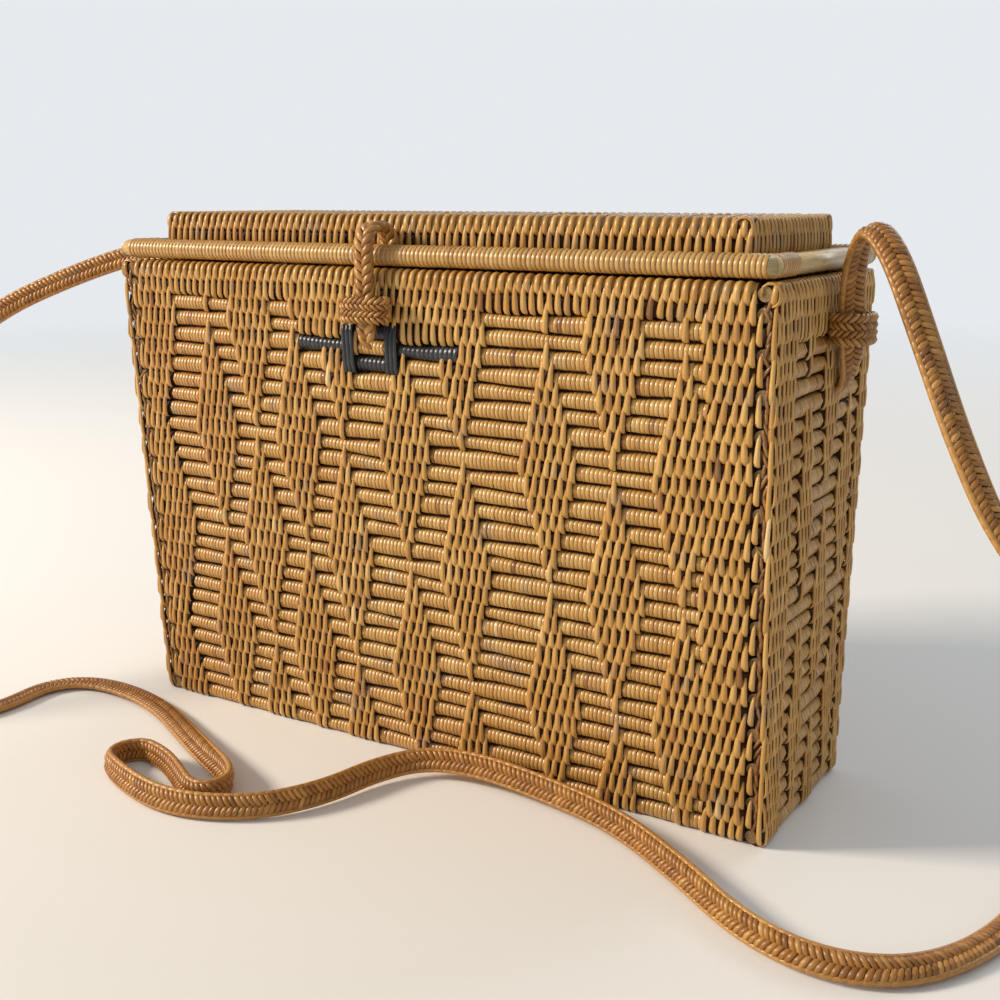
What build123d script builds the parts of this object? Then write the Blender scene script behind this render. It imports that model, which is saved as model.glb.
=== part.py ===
from build123d import *
import math
import os

# Woven box bag: five wrapped-rod panels laced at the corners, a stepped lid on two
# cane loops at the back, a braided tab with a sliding ring, and one long braided strap.
# Millimetres. The origin is the middle of the underside, the front faces -Y, +Z is up.

# body
body_width = 270.0
mouth_depth = 94.0
base_depth = 72.5
wall_height = 182.0
wall_thickness = 5.8
row_count = 30
corner_seam = 1.4
base_rows = 11
base_thickness = 5.5

# one row of the weave: a rod with a groove each side of it, and splint stitched over it
groove_depth = 1.4
stitch_relief = 0.5
rod_flat = 0.46
full_rows = 2
mouth_round = 1.2

# lid
rim_rod = 7.4
rim_gap = 1.1
plateau_left = 16.0
plateau_right = 13.0
plateau_inset = 10.5
plateau_top = 200.3
ledge_bottom = 184.6
ledge_top = 188.3
lid_wall_thickness = 5.4
lid_top_thickness = 5.4
lid_top_rows = 12

# hinge loops
loop_place = 78.0
loop_width = 9.0
loop_clearance = 0.25
loop_thickness = 1.4
notch_clearance = 0.6

# closure
catch_centre = -13.6
tab_centre = -11.4
tab_width = 9.0
tab_thickness = 3.0
tab_standoff = 4.1
tab_top = 178.0
tab_knee = 161.5
tab_end = 152.6
joint_gap = 0.3
arch_height = 189.5
ring_width = 21.0
ring_height = 9.5
ring_bottom = 163.3
ring_wall = 3.4
ring_back = 1.9
ring_slack = 0.3
catch_width = 24.2
catch_post = 5.2
catch_relief = 1.1
band_relief = 0.45
band_left_end = -46.3
band_right_end = 22.6

# strap
strap_width = 9.0
keeper_width = 19.0
keeper_height = 9.5
keeper_low = 161.0
keeper_reach = 3.0
lacing_turns = 12

row_pitch = wall_height / row_count
half_width = body_width / 2
side_inner = half_width - wall_thickness
front_half = side_inner - corner_seam
rim_radius = rim_rod / 2
rim_height = wall_height + rim_gap + rim_radius
rim_half_x = half_width - rim_radius
rim_half_y = mouth_depth / 2 - rim_radius + 0.1
plateau_y = mouth_depth / 2 - plateau_inset
plateau_x0 = -half_width + plateau_left
plateau_x1 = half_width - plateau_right

os.makedirs("parts", exist_ok=True)


def half_depth(z):
    """Half of the body's depth at a height: the long walls lean outwards."""
    return (base_depth + (mouth_depth - base_depth) * z / wall_height) / 2


def prism_x(outline, x0, x1):
    """Solid of a YZ outline between two X planes."""
    face = make_face(Polyline(*[(x0, y, z) for y, z in outline], close=True))
    return extrude(face, amount=x1 - x0, dir=(1, 0, 0))


def prism_y(outline, y0, y1):
    """Solid of an XZ outline between two Y planes."""
    face = make_face(Polyline(*[(x, y0, z) for x, z in outline], close=True))
    return extrude(face, amount=y1 - y0, dir=(0, 1, 0))


def prism_z(outline, z0, z1):
    """Solid of an XY outline between two Z planes."""
    face = make_face(Polyline(*[(x, y, z0) for x, y in outline], close=True))
    return extrude(face, amount=z1 - z0, dir=(0, 0, 1))


def rod_rows(start, pitch, count, flat=0.0):
    """(along, depth) points of a row of rods: a crest, flat over a share of it, between grooves."""
    points = []
    for row in range(count):
        low = start + row * pitch
        side = pitch * (1 - flat) / 2
        points += [(low, groove_depth + stitch_relief), (low + side, stitch_relief)]
        if flat:
            points.append((low + pitch - side, stitch_relief))
    points.append((start + count * pitch, groove_depth + stitch_relief))
    return points


def triangle_wave(row, peak_row, half_period):
    """1 at the peak row, 0 half a period away, and so on down the wall."""
    turn = ((row - peak_row) / (2 * half_period)) % 1
    return abs(1 - 2 * turn)


def row_heights(row):
    """Bottom and top height of a row, counted from the mouth."""
    top = wall_height - row * row_pitch
    return top - row_pitch, top


def stitch_section(low, high, inner, edge_round=0.0):
    """(along, depth) outline of the splints over one rod: out over it and down to both grooves."""
    groove = groove_depth + stitch_relief
    points = [(low, inner), (low, groove), ((low + high) / 2, 0)]
    if edge_round:
        return points + [(high - edge_round, 0), (high, edge_round), (high, inner)]
    return points + [(high, groove), (high, inner)]


# The stitched diamonds of the long walls stand in two sets, half a period apart, and one
# grows as the other shrinks, so that the bare rods between them run down in zigzags. The
# weaver set them out by eye, so their spacing is uneven.
growing_diamonds = (-93.0, -51.5, -3.0, 56.5, 104.5)
shrinking_diamonds = (-72.5, -28.5, 23.0, 80.0)
diamond_width = 22.7
diamond_peak_row = 4
diamond_half_rows = 7
least_stitch = 1.7
least_diamond = 5.0
least_back_diamond = 8.0


def diamond_spans(wave, least):
    """X spans of both sets of diamonds where the wave has this height, narrow ones left out."""
    sets = ((growing_diamonds, diamond_width * (1 - wave)), (shrinking_diamonds, diamond_width * wave))
    return [(middle - width / 2, middle + width / 2)
            for middles, width in sets if width > least for middle in middles]


def long_zones(row, least):
    """X spans of the stitched splints on a row of a long wall."""
    if row < full_rows:
        return [(-front_half, front_half)]
    wave = triangle_wave(row + 1, diamond_peak_row, diamond_half_rows)
    borders = [(-front_half, -front_half + 8 + 10 * wave), (front_half - 10 - 5 * wave, front_half)]
    return borders + diamond_spans(wave, least)


side_middle = 4.7
side_spread = 21.5
side_diamond = 15.0
side_peak_row = 12.7
side_half_rows = 6.1


def side_zones(row):
    """Y spans of the stitched splints on a row of a short wall, front to back."""
    low, high = row_heights(row)
    if row <= full_rows:
        return [(-mouth_depth / 2, mouth_depth / 2)]
    scale = half_depth((low + high) / 2) / (mouth_depth / 2)
    wave = triangle_wave(row + 1, side_peak_row, side_half_rows)
    zones = [(-mouth_depth / 2, (-mouth_depth / 2 + 15) * scale),
             ((mouth_depth / 2 - 9) * scale, mouth_depth / 2)]
    width = side_diamond * (1 - wave)
    if width > least_diamond:
        zones.append(((side_middle - width / 2) * scale, (side_middle + width / 2) * scale))
    width = side_diamond * wave
    if width > least_diamond:
        for middle in (side_middle - side_spread, side_middle + side_spread):
            zones.append(((middle - width / 2) * scale, (middle + width / 2) * scale))
    return zones


def clear_of_catch(row, span):
    """Cuts a stitched span back from the dyed frame and bands of the catch."""
    frame = (catch_centre - catch_width / 2, catch_centre + catch_width / 2)
    gaps = {3: frame, 4: (band_left_end, band_right_end), 5: frame}
    if row not in gaps:
        return [span]
    low, high = gaps[row]
    pieces = [(span[0], min(span[1], low)), (max(span[0], high), span[1])]
    return [piece for piece in pieces if piece[1] - piece[0] > least_stitch]


def long_wall(side, with_catch):
    """Front (side -1) or back (side +1) wall: rods along X, leaning outwards."""
    outer = [(side * (half_depth(z) - depth), z) for z, depth in rod_rows(0, row_pitch, row_count)]
    inner = [(side * (half_depth(z) - wall_thickness), z) for z in (wall_height, 0)]
    slab = prism_x(outer + inner, -front_half, front_half)
    stitches = []
    for row in range(row_count):
        section = stitch_section(*row_heights(row), wall_thickness / 2, 0.0 if row else mouth_round)
        outline = [(side * (half_depth(z) - depth), z) for z, depth in section]
        for zone in long_zones(row, least_diamond if with_catch else least_back_diamond):
            spans = clear_of_catch(row, zone) if with_catch else [zone]
            stitches += [prism_x(outline, *span) for span in spans]
    return slab + stitches


def short_wall(side):
    """Left (side -1) or right (side +1) wall: its rods run the full depth and end in the face."""
    reach = mouth_depth / 2 + 2
    outer = [(side * (half_width - depth), z) for z, depth in rod_rows(0, row_pitch, row_count)]
    inner = [(side * side_inner, wall_height), (side * side_inner, 0)]
    wall = prism_y(outer + inner, -reach, reach)
    stitches = []
    for row in range(row_count):
        section = stitch_section(*row_heights(row), wall_thickness / 2, 0.0 if row else mouth_round)
        outline = [(side * (half_width - depth), z) for z, depth in section]
        stitches += [prism_y(outline, *zone) for zone in side_zones(row)]
    wall = wall + stitches
    trim = prism_x([(-half_depth(0), 0), (half_depth(0), 0), (half_depth(wall_height), wall_height),
                    (-half_depth(wall_height), wall_height)], -half_width - 1, half_width + 1)
    return wall & trim


def base_panel():
    """Bottom: rods along X between the walls, whose crests are the resting faces."""
    pitch = 2 * (half_depth(0) - wall_thickness) / base_rows
    rods = rod_rows(-base_rows * pitch / 2, pitch, base_rows, rod_flat)
    under = [(y, depth - stitch_relief) for y, depth in rods]
    edge = half_depth(base_thickness) - wall_thickness
    outline = under + [(edge, base_thickness), (-edge, base_thickness)]
    outline[0] = (-half_depth(0) + wall_thickness, 0)
    outline[len(under) - 1] = (half_depth(0) - wall_thickness, 0)
    return prism_x(outline, -side_inner, side_inner)


def corner_lacing(side_x, side_y):
    """Cane laced down the seam between a long and a short wall, in its turns."""
    turn = wall_height / lacing_turns
    outline = []
    for index in range(lacing_turns):
        low = index * turn
        outline += [(side_y * (half_depth(low) - 2.2), low),
                    (side_y * (half_depth(low + turn / 2) - 0.5), low + turn / 2)]
    outline += [(side_y * (half_depth(wall_height) - 2.2), wall_height),
                (side_y * (half_depth(wall_height) - wall_thickness), wall_height),
                (side_y * (half_depth(0) - wall_thickness), 0)]
    ends = sorted((side_x * front_half, side_x * side_inner))
    return prism_x(outline, *ends)


def hinge_loop(x):
    """Stadium-shaped cane loop round the lid's back rod and the wall's top rod."""
    inner = rim_radius + loop_clearance
    outer = inner + loop_thickness
    low = wall_height - row_pitch + inner
    width = loop_width

    def stadium(radius):
        ends = [Pos(x - width / 2, rim_half_y, z) * Rot(0, 90, 0) * Cylinder(
            radius, width, align=(Align.CENTER, Align.CENTER, Align.MIN)) for z in (low, rim_height)]
        middle = prism_x([(rim_half_y - radius, low), (rim_half_y + radius, low),
                          (rim_half_y + radius, rim_height), (rim_half_y - radius, rim_height)],
                         x - width / 2, x + width / 2)
        return middle + ends

    return stadium(outer) - stadium(inner)


def rim_rods():
    """The four rods of the lid's rim, mitred where they meet."""
    long_rod = Rot(0, 90, 0) * Cylinder(rim_radius, body_width)
    cross_rod = Rot(90, 0, 0) * Cylinder(rim_radius, mouth_depth)
    reach = rim_half_y + rim_radius
    corner_x = rim_half_x + rim_radius
    front = prism_z([(-corner_x, -reach), (corner_x, -reach), (corner_x - reach, 0), (-corner_x + reach, 0)],
                    rim_height - rim_rod, rim_height + rim_rod)
    left = prism_z([(-corner_x, -reach), (-corner_x + reach, 0), (-corner_x, reach)],
                   rim_height - rim_rod, rim_height + rim_rod)
    rods = {"lid_rim_front": (Pos(0, -rim_half_y, rim_height) * long_rod) & front,
            "lid_rim_back": (Pos(0, rim_half_y, rim_height) * long_rod) & mirror(front, Plane.XZ),
            "lid_rim_left": (Pos(-rim_half_x, 0, rim_height) * cross_rod) & left,
            "lid_rim_right": (Pos(rim_half_x, 0, rim_height) * cross_rod) & mirror(left, Plane.YZ)}
    return rods


def step_rows(low, high, count):
    """(height, depth) points of the rods of the lid's low wall."""
    return rod_rows(low, (high - low) / count, count, rod_flat)


def lid_long_wall(side):
    """Front or back of the lid's raised middle, with the ledge that carries it to the rim."""
    rows = [(side * (plateau_y - depth + stitch_relief), z) for z, depth in step_rows(ledge_top, plateau_top, 2)]
    rows[-1] = (side * (plateau_y - groove_depth), plateau_top)
    inner = side * (plateau_y - lid_wall_thickness)
    outline = rows + [(inner, plateau_top), (inner, ledge_bottom),
                      (side * (plateau_y - 0.01), ledge_bottom), (side * (plateau_y - 0.01), ledge_top)]
    wall = prism_x(outline, plateau_x0 + lid_wall_thickness, plateau_x1 - lid_wall_thickness)
    ledge_edge = side * (rim_half_y - rim_radius + 0.8)
    ledge = prism_x([(side * plateau_y - side * 0.02, ledge_bottom), (ledge_edge, ledge_bottom),
                     (ledge_edge, ledge_top), (side * plateau_y - side * 0.02, ledge_top)],
                    -rim_half_x + rim_radius - 0.5, rim_half_x - rim_radius + 0.5)
    return wall + ledge


def lid_short_wall(side):
    """Left or right of the raised middle and its ledge of two rods."""
    face = plateau_x0 if side < 0 else plateau_x1
    rows = [(face - side * (depth - stitch_relief), z) for z, depth in step_rows(ledge_top, plateau_top, 2)]
    rows[-1] = (face - side * groove_depth, plateau_top)
    inner = face - side * lid_wall_thickness
    edge = side * (rim_half_x - rim_radius + 0.8)
    groove = (face + edge) / 2
    outline = rows + [(inner, plateau_top), (inner, ledge_bottom), (edge, ledge_bottom), (edge, ledge_top),
                      (groove + side * 0.9, ledge_top), (groove, ledge_top - 1.0),
                      (groove - side * 0.9, ledge_top)]
    reach = plateau_y - 0.02
    return prism_y(outline, -reach, reach)


def lid_top():
    """Top panel of the lid: rods along X between the low walls, with the same diamonds."""
    half = plateau_y - lid_wall_thickness
    pitch = 2 * half / lid_top_rows
    x0 = plateau_x0 + lid_wall_thickness
    x1 = plateau_x1 - lid_wall_thickness
    rows = [(y, plateau_top - depth) for y, depth in rod_rows(-half, pitch, lid_top_rows)]
    floor = plateau_top - lid_top_thickness
    panel = prism_x(rows + [(half, floor), (-half, floor)], x0, x1)
    stitches = []
    for row in range(lid_top_rows):
        low = -half + row * pitch
        wave = triangle_wave(row + 1, diamond_peak_row, diamond_half_rows)
        section = [(y, plateau_top - depth) for y, depth in stitch_section(low, low + pitch, lid_top_thickness - 1)]
        for first, last in diamond_spans(wave, least_diamond):
            start = max(first, x0)
            end = min(last, x1)
            if end - start > least_diamond:
                stitches.append(prism_x(section, start, end))
    return panel + stitches


def hinge_notch(x):
    """Room in the lid's ledge for a loop, through the lid's whole swing."""
    radius = rim_radius + loop_clearance + loop_thickness + notch_clearance
    return Pos(x, rim_half_y, rim_height) * Rot(0, 90, 0) * Cylinder(radius, loop_width + 1.0)


tab_outer_y = -mouth_depth / 2 - tab_standoff - tab_thickness / 2
tab_inner_y = tab_outer_y + tab_thickness
rear_leg_y = -(plateau_y + 0.1)
tab_x0 = tab_centre - tab_width / 2
tab_x1 = tab_centre + tab_width / 2


def closure_loop():
    """Braided loop of the tab: up the front, over the rim rod and down into the ledge."""
    middle_y = (tab_outer_y + rear_leg_y) / 2
    outer_radius = (rear_leg_y - tab_outer_y) / 2
    inner_radius = outer_radius - tab_thickness
    top = Pos(tab_x0, middle_y, arch_height) * Rot(0, 90, 0) * (
        Cylinder(outer_radius, tab_width, align=(Align.CENTER, Align.CENTER, Align.MIN))
        - Cylinder(inner_radius, tab_width, align=(Align.CENTER, Align.CENTER, Align.MIN)))
    top = top & prism_x([(tab_outer_y - 1, arch_height), (rear_leg_y + 1, arch_height),
                         (rear_leg_y + 1, arch_height + 20), (tab_outer_y - 1, arch_height + 20)],
                        tab_x0, tab_x1)
    front_leg = prism_x([(tab_outer_y, tab_top + joint_gap / 2), (tab_inner_y, tab_top + joint_gap / 2),
                         (tab_inner_y, arch_height), (tab_outer_y, arch_height)], tab_x0, tab_x1)
    rear_leg = prism_x([(rear_leg_y - tab_thickness, ledge_bottom), (rear_leg_y, ledge_bottom),
                        (rear_leg_y, arch_height), (rear_leg_y - tab_thickness, arch_height)], tab_x0, tab_x1)
    return top + front_leg + rear_leg


def closure_tab():
    """Hanging end of the tab: straight through the ring, then in to the catch's open window."""
    end_inner = -half_depth(tab_end) - joint_gap - 0.1
    outline = [(tab_outer_y, tab_top - joint_gap / 2), (tab_outer_y, tab_knee + 0.6),
               (end_inner - tab_thickness, tab_end + 1.4), (end_inner - tab_thickness + 1.2, tab_end),
               (end_inner, tab_end), (tab_inner_y, tab_knee), (tab_inner_y, tab_top - joint_gap / 2)]
    return prism_x(outline, tab_x0, tab_x1)


def ring_band(middle_x, y0, y1, width, low, high, bevel):
    """Closed band seen from above as an octagon, its upper and lower edges rounded off."""
    half = width / 2
    corner = min(width, y1 - y0) * 0.28
    outline = [(middle_x - half + corner, y0), (middle_x + half - corner, y0), (middle_x + half, y0 + corner),
               (middle_x + half, y1 - corner), (middle_x + half - corner, y1), (middle_x - half + corner, y1),
               (middle_x - half, y1 - corner), (middle_x - half, y0 + corner)]
    band = prism_z(outline, low, high)
    edges = band.edges().filter_by(lambda edge: abs(edge.bounding_box().size.Z) < 0.01)
    return chamfer(edges, bevel)


def closure_ring():
    """Sliding ring round the tab, as a fat band with a thin back."""
    hole = Pos(tab_centre, (tab_outer_y + tab_inner_y) / 2, ring_bottom + ring_height / 2) * Box(
        tab_width + 2 * ring_slack, tab_thickness + 2 * ring_slack, 2 * ring_height)
    band = ring_band(tab_centre, tab_outer_y - ring_slack - ring_wall, tab_inner_y + ring_slack + ring_back,
                     ring_width, ring_bottom, ring_bottom + ring_height, 1.1)
    return band - hole


def catch_frame():
    """Square of dyed splint round a bare stretch of the fifth rod, where the tab's end lies."""
    low = wall_height - 6 * row_pitch
    high = wall_height - 3.2 * row_pitch
    x0 = catch_centre - catch_width / 2
    x1 = catch_centre + catch_width / 2
    outer = [(-half_depth(low) - catch_relief, low), (-half_depth(high) - catch_relief, high),
             (-half_depth(high) + stitch_relief, high), (-half_depth(low) + stitch_relief, low)]
    window_low = wall_height - 5 * row_pitch - 0.3
    window_high = wall_height - 4 * row_pitch + 0.3
    window = prism_x([(-mouth_depth, window_low), (0, window_low), (0, window_high), (-mouth_depth, window_high)],
                     x0 + catch_post, x1 - catch_post)
    return prism_x(outer, x0, x1) - window


def catch_band(x0, x1):
    """Dyed splint wound round the fifth rod at one side of the frame."""
    low = wall_height - 5 * row_pitch
    crest = [(z, depth) for z, depth in rod_rows(low, row_pitch, 1)]
    outer = [(-half_depth(z) + depth - stitch_relief - band_relief, z) for z, depth in crest]
    inner = [(-half_depth(z) + depth, z) for z, depth in reversed(crest)]
    return prism_x(outer + inner, x0, x1)


# Route of the strap's middle line, from inside the left wall to inside the right one: up
# through the left keeper, out and down to the table, an S with two tight bights in front
# of the bag, along its foot, and up through the right keeper. On the table it lies at its
# half width.
floor_z = strap_width / 2
strap_route = [
    (-129.6, 10.0, 143.5), (-138.2, 9.5, 146.0), (-141.3, 6.8, 153.8), (-142.0, 3.6, 165.5),
    (-145.2, 0.4, 177.0), (-155.5, -4.5, 184.5), (-173.0, -12.0, 181.0), (-199.0, -24.5, 171.0),
    (-224.0, -38.0, 158.5), (-243.0, -57.0, 138.0), (-249.0, -82.0, 110.0), (-245.0, -106.0, 79.0),
    (-230.0, -123.0, 49.0), (-209.0, -129.0, 23.0), (-190.0, -124.0, 7.5), (-176.5, -109.0, floor_z),
    (-173.0, -89.0, floor_z), (-176.5, -68.0, floor_z),
    (-165.5, -54.0, floor_z), (-141.0, -52.5, floor_z), (-113.0, -60.0, floor_z),
    (-86.0, -73.0, floor_z), (-63.0, -83.5, floor_z), (-48.0, -89.0, floor_z), (-39.0, -93.0, floor_z),
    (-35.2, -99.4, floor_z), (-37.8, -106.0, floor_z), (-44.6, -108.6, floor_z),
    (-56.5, -104.6, floor_z), (-70.0, -98.8, floor_z), (-84.0, -94.6, floor_z), (-92.0, -96.0, floor_z),
    (-96.6, -101.8, floor_z), (-94.6, -108.8, floor_z), (-87.0, -112.6, floor_z),
    (-72.0, -117.0, floor_z), (-55.0, -121.0, floor_z), (-37.0, -119.0, floor_z),
    (-17.5, -107.5, floor_z), (-6.0, -87.0, floor_z), (-1.5, -63.5, 5.5), (9.5, -48.5, 8.0),
    (30.0, -44.8, 9.5), (57.0, -46.0, 7.0), (89.0, -52.0, floor_z), (120.0, -70.0, floor_z),
    (146.0, -88.5, floor_z), (168.0, -95.5, floor_z), (187.0, -91.5, floor_z), (201.0, -77.0, floor_z),
    (211.0, -52.0, floor_z), (216.0, -22.0, floor_z), (229.0, 4.0, floor_z), (250.0, 17.0, floor_z),
    (268.0, 9.0, 6.5), (273.5, -14.0, 17.0), (265.0, -32.0, 38.0), (245.0, -38.5, 65.0),
    (221.0, -37.5, 90.0), (199.0, -36.0, 112.5), (184.0, -32.0, 140.0), (170.0, -26.0, 170.0),
    (159.0, -19.0, 191.0), (149.0, -11.0, 199.0), (143.0, -4.0, 188.0), (141.5, 1.0, 172.0),
    (141.0, 6.5, 155.0), (138.2, 9.5, 146.0), (129.6, 10.0, 143.5)]


def route_radii(route):
    """Radius of each arc: as large as the two runs beside it allow."""
    radii = []
    for before, here, after in zip(route, route[1:], route[2:]):
        first = Vector(*here) - Vector(*before)
        second = Vector(*after) - Vector(*here)
        turn = math.radians(first.get_angle(second))
        radii.append(0.45 * min(first.length, second.length) / math.tan(turn / 2))
    return radii


def strap():
    radii = route_radii(strap_route)
    path = FilletPolyline(*strap_route, radius=radii)
    start = path.position_at(0)
    section = Plane(origin=start, z_dir=path.tangent_at(0)) * Circle(strap_width / 2)
    tube = sweep(section, path=path)
    print("strap length", round(path.length, 1), "volume ratio",
          round(tube.volume / (math.pi * strap_width ** 2 / 4 * path.length), 4))
    for index, radius in enumerate(radii):
        if radius < 5 * strap_width:
            print("  arc", index + 1, strap_route[index + 1], "radius", round(radius, 1))
    return tube


def bore_between(low, high):
    """Round bore for the strap along the line through two of its route's points."""
    line = Vector(*high) - Vector(*low)
    plane = Plane(origin=Vector(*low) - line, z_dir=line)
    return extrude(plane * Circle(strap_width / 2), amount=3 * line.length)


def strap_keeper(side):
    """Braided ring bound to a short wall, tight round the strap's upright end."""
    low, high = (strap_route[2], strap_route[3]) if side < 0 else (strap_route[-3], strap_route[-4])
    middle = (low[1] + high[1]) / 2 - 0.8
    outer = half_width + 1.6 + strap_width + keeper_reach
    band = ring_band(0, half_width, outer, keeper_width, keeper_low, keeper_low + keeper_height, 1.6)
    return Pos(0, middle, 0) * Rot(0, 0, -90 * side) * band - bore_between(low, high)


nodes = {}
nodes["strap"] = strap()
nodes["front_wall"] = long_wall(-1, True)
nodes["left_wall"] = short_wall(-1) - bore_between(strap_route[0], strap_route[1])
nodes["right_wall"] = short_wall(1) - bore_between(strap_route[-1], strap_route[-2])
nodes["base_panel"] = base_panel()
loops = {"hinge_loop_left": hinge_loop(-loop_place), "hinge_loop_right": hinge_loop(loop_place)}
nodes.update(loops)
nodes["back_wall"] = long_wall(1, False) - list(loops.values())
for name_y, side_y in (("front", -1), ("back", 1)):
    for name_x, side_x in (("left", -1), ("right", 1)):
        nodes["corner_lacing_" + name_y + "_" + name_x] = corner_lacing(side_x, side_y)
nodes["catch_frame"] = catch_frame()
nodes["catch_band_left"] = catch_band(band_left_end, catch_centre - catch_width / 2)
nodes["catch_band_right"] = catch_band(catch_centre + catch_width / 2, band_right_end)
nodes["strap_keeper_left"] = strap_keeper(-1)
nodes["strap_keeper_right"] = strap_keeper(1)

rods = rim_rods()
nodes.update(rods)
loop_of_tab = closure_loop()
nodes["closure_loop"] = loop_of_tab
lid_cuts = list(rods.values()) + [loop_of_tab]
back_cuts = list(rods.values()) + [hinge_notch(-loop_place), hinge_notch(loop_place)]
nodes["lid_front_wall"] = lid_long_wall(-1) - lid_cuts
nodes["lid_back_wall"] = lid_long_wall(1) - back_cuts
nodes["lid_left_wall"] = lid_short_wall(-1) - list(rods.values())
nodes["lid_right_wall"] = lid_short_wall(1) - list(rods.values())
nodes["lid_top"] = lid_top()
nodes["closure_tab"] = closure_tab()
nodes["closure_ring"] = closure_ring()

for name, shape in nodes.items():
    export_step(shape, "parts/" + name + ".step")
    print(name, "solids", len(shape.solids()), "volume cc", round(shape.volume / 1000, 2))
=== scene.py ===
import bpy
import bmesh
import math
import numpy as np
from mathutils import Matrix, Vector


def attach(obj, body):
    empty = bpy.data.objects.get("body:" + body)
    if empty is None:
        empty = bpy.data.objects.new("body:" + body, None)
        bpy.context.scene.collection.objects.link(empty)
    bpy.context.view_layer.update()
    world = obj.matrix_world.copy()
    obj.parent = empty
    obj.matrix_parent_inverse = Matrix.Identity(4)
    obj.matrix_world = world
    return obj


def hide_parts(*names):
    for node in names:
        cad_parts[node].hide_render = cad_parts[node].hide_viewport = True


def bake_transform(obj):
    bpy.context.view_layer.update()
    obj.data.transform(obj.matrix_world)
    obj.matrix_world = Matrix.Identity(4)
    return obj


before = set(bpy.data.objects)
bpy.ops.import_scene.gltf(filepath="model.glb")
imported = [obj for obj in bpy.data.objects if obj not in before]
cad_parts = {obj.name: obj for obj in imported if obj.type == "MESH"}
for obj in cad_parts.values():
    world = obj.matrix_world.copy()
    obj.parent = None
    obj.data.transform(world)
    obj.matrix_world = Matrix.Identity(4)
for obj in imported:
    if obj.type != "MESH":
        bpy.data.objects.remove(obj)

# A woven box bag of smoked vine. Sizes here are in millimetres and are turned to metres
# where a mesh is made. Front is -Y, up is +Z, the origin is the middle of the underside.
mm = 0.001
chance = np.random.default_rng(11)
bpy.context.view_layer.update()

# the body and lid as the solids have them
body = {"halfWidth": 135.0, "wallHeight": 182.0, "rowPitch": 182.0 / 30, "rows": 30,
        "halfDepthLow": 36.25, "lean": 0.05907, "thickness": 5.8, "frontHalf": 127.8, "sideHalf": 47.0}
lid = {"rimRadius": 3.7, "rimZ": 186.8, "rimX": 131.3, "rimY": 43.4, "ledgeTop": 188.3, "top": 200.3,
       "plateauY": 36.5, "plateauLeft": -119.0, "plateauRight": 122.0, "wall": 5.4}


def linear(colour):
    value = colour.lstrip("#")
    parts = [int(value[i:i + 2], 16) / 255 for i in (0, 2, 4)]
    return [p / 12.92 if p <= 0.04045 else ((p + 0.055) / 1.055) ** 2.4 for p in parts] + [1.0]


def addNode(tree, kind, settings=None, links=None):
    node = tree.nodes.new(kind)
    for name, value in (settings or {}).items():
        if isinstance(name, int) or name in node.inputs:
            node.inputs[name].default_value = value
        else:
            setattr(node, name, value)
    for name, socket in (links or {}).items():
        tree.links.new(socket, node.inputs[name])
    return node


def setRamp(node, stops):
    ramp = node.color_ramp
    while len(ramp.elements) < len(stops):
        ramp.elements.new(0.5)
    for element, (place, colour) in zip(ramp.elements, stops):
        element.position = place
        element.color = linear(colour)


def deselectAll():
    for item in list(bpy.context.selected_objects):
        item.select_set(False)


def setMode(mode):
    bpy.ops.object.mode_set(mode=mode)


def selectAll():
    bpy.ops.mesh.select_all(action="SELECT")


def cutMesh(place, normal, **options):
    selectAll()
    bpy.ops.mesh.bisect(plane_co=place, plane_no=normal, **options)


def addRod(sides, radius, length):
    # a round rod along X
    deselectAll()
    bpy.ops.mesh.primitive_cylinder_add(vertices=sides, radius=radius, depth=length,
                                        rotation=(0, math.pi / 2, 0))
    bpy.ops.object.transform_apply(location=True, rotation=True, scale=True)
    return bpy.context.object


def removeObject(obj):
    mesh = obj.data
    bpy.data.objects.remove(obj)
    bpy.data.meshes.remove(mesh)


def vertexPlaces(obj):
    return np.array([v.co[:] for v in obj.data.vertices])


def pickVertices(obj, wanted):
    shape = bmesh.from_edit_mesh(obj.data)
    for vertex in shape.verts:
        vertex.select = wanted(vertex.co)
    shape.select_flush_mode()
    bmesh.update_edit_mesh(obj.data)


def halfDepth(z):
    return body["halfDepthLow"] + body["lean"] * z


# shapes that repeat: each is modelled once
ringSpread = 100.0
ringLift = 5000.0
barelyThick = 0.01


def readShape(obj, across, along, swap=False, soil=0.0):
    # what a copy needs: places, faces and the fibre's own coordinates, and the model goes
    places = vertexPlaces(obj)
    if swap:
        places = places[:, [2, 1, 0]]
    loops = [list(p.vertices) for p in obj.data.polygons]
    if swap:
        loops = [list(reversed(loop)) for loop in loops]
    removeObject(obj)
    return {"co": places, "faces": loops, "fibre": np.stack([across, along], 1),
            "soil": np.broadcast_to(soil, (len(places),))}


def readRound(obj, radius, soil=0.0):
    # a shape round the X axis, whose fibres run round it
    places = vertexPlaces(obj)
    return readShape(obj, places[:, 0], np.arctan2(places[:, 2], -places[:, 1]) * radius, soil=soil)


def runAlong(line):
    # how far along a line each of its points lies
    return np.concatenate([[0], np.cumsum(np.linalg.norm(np.diff(line, axis=0), axis=1))])


def unitRows(values):
    return values / np.linalg.norm(values, axis=1)[:, None]


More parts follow.
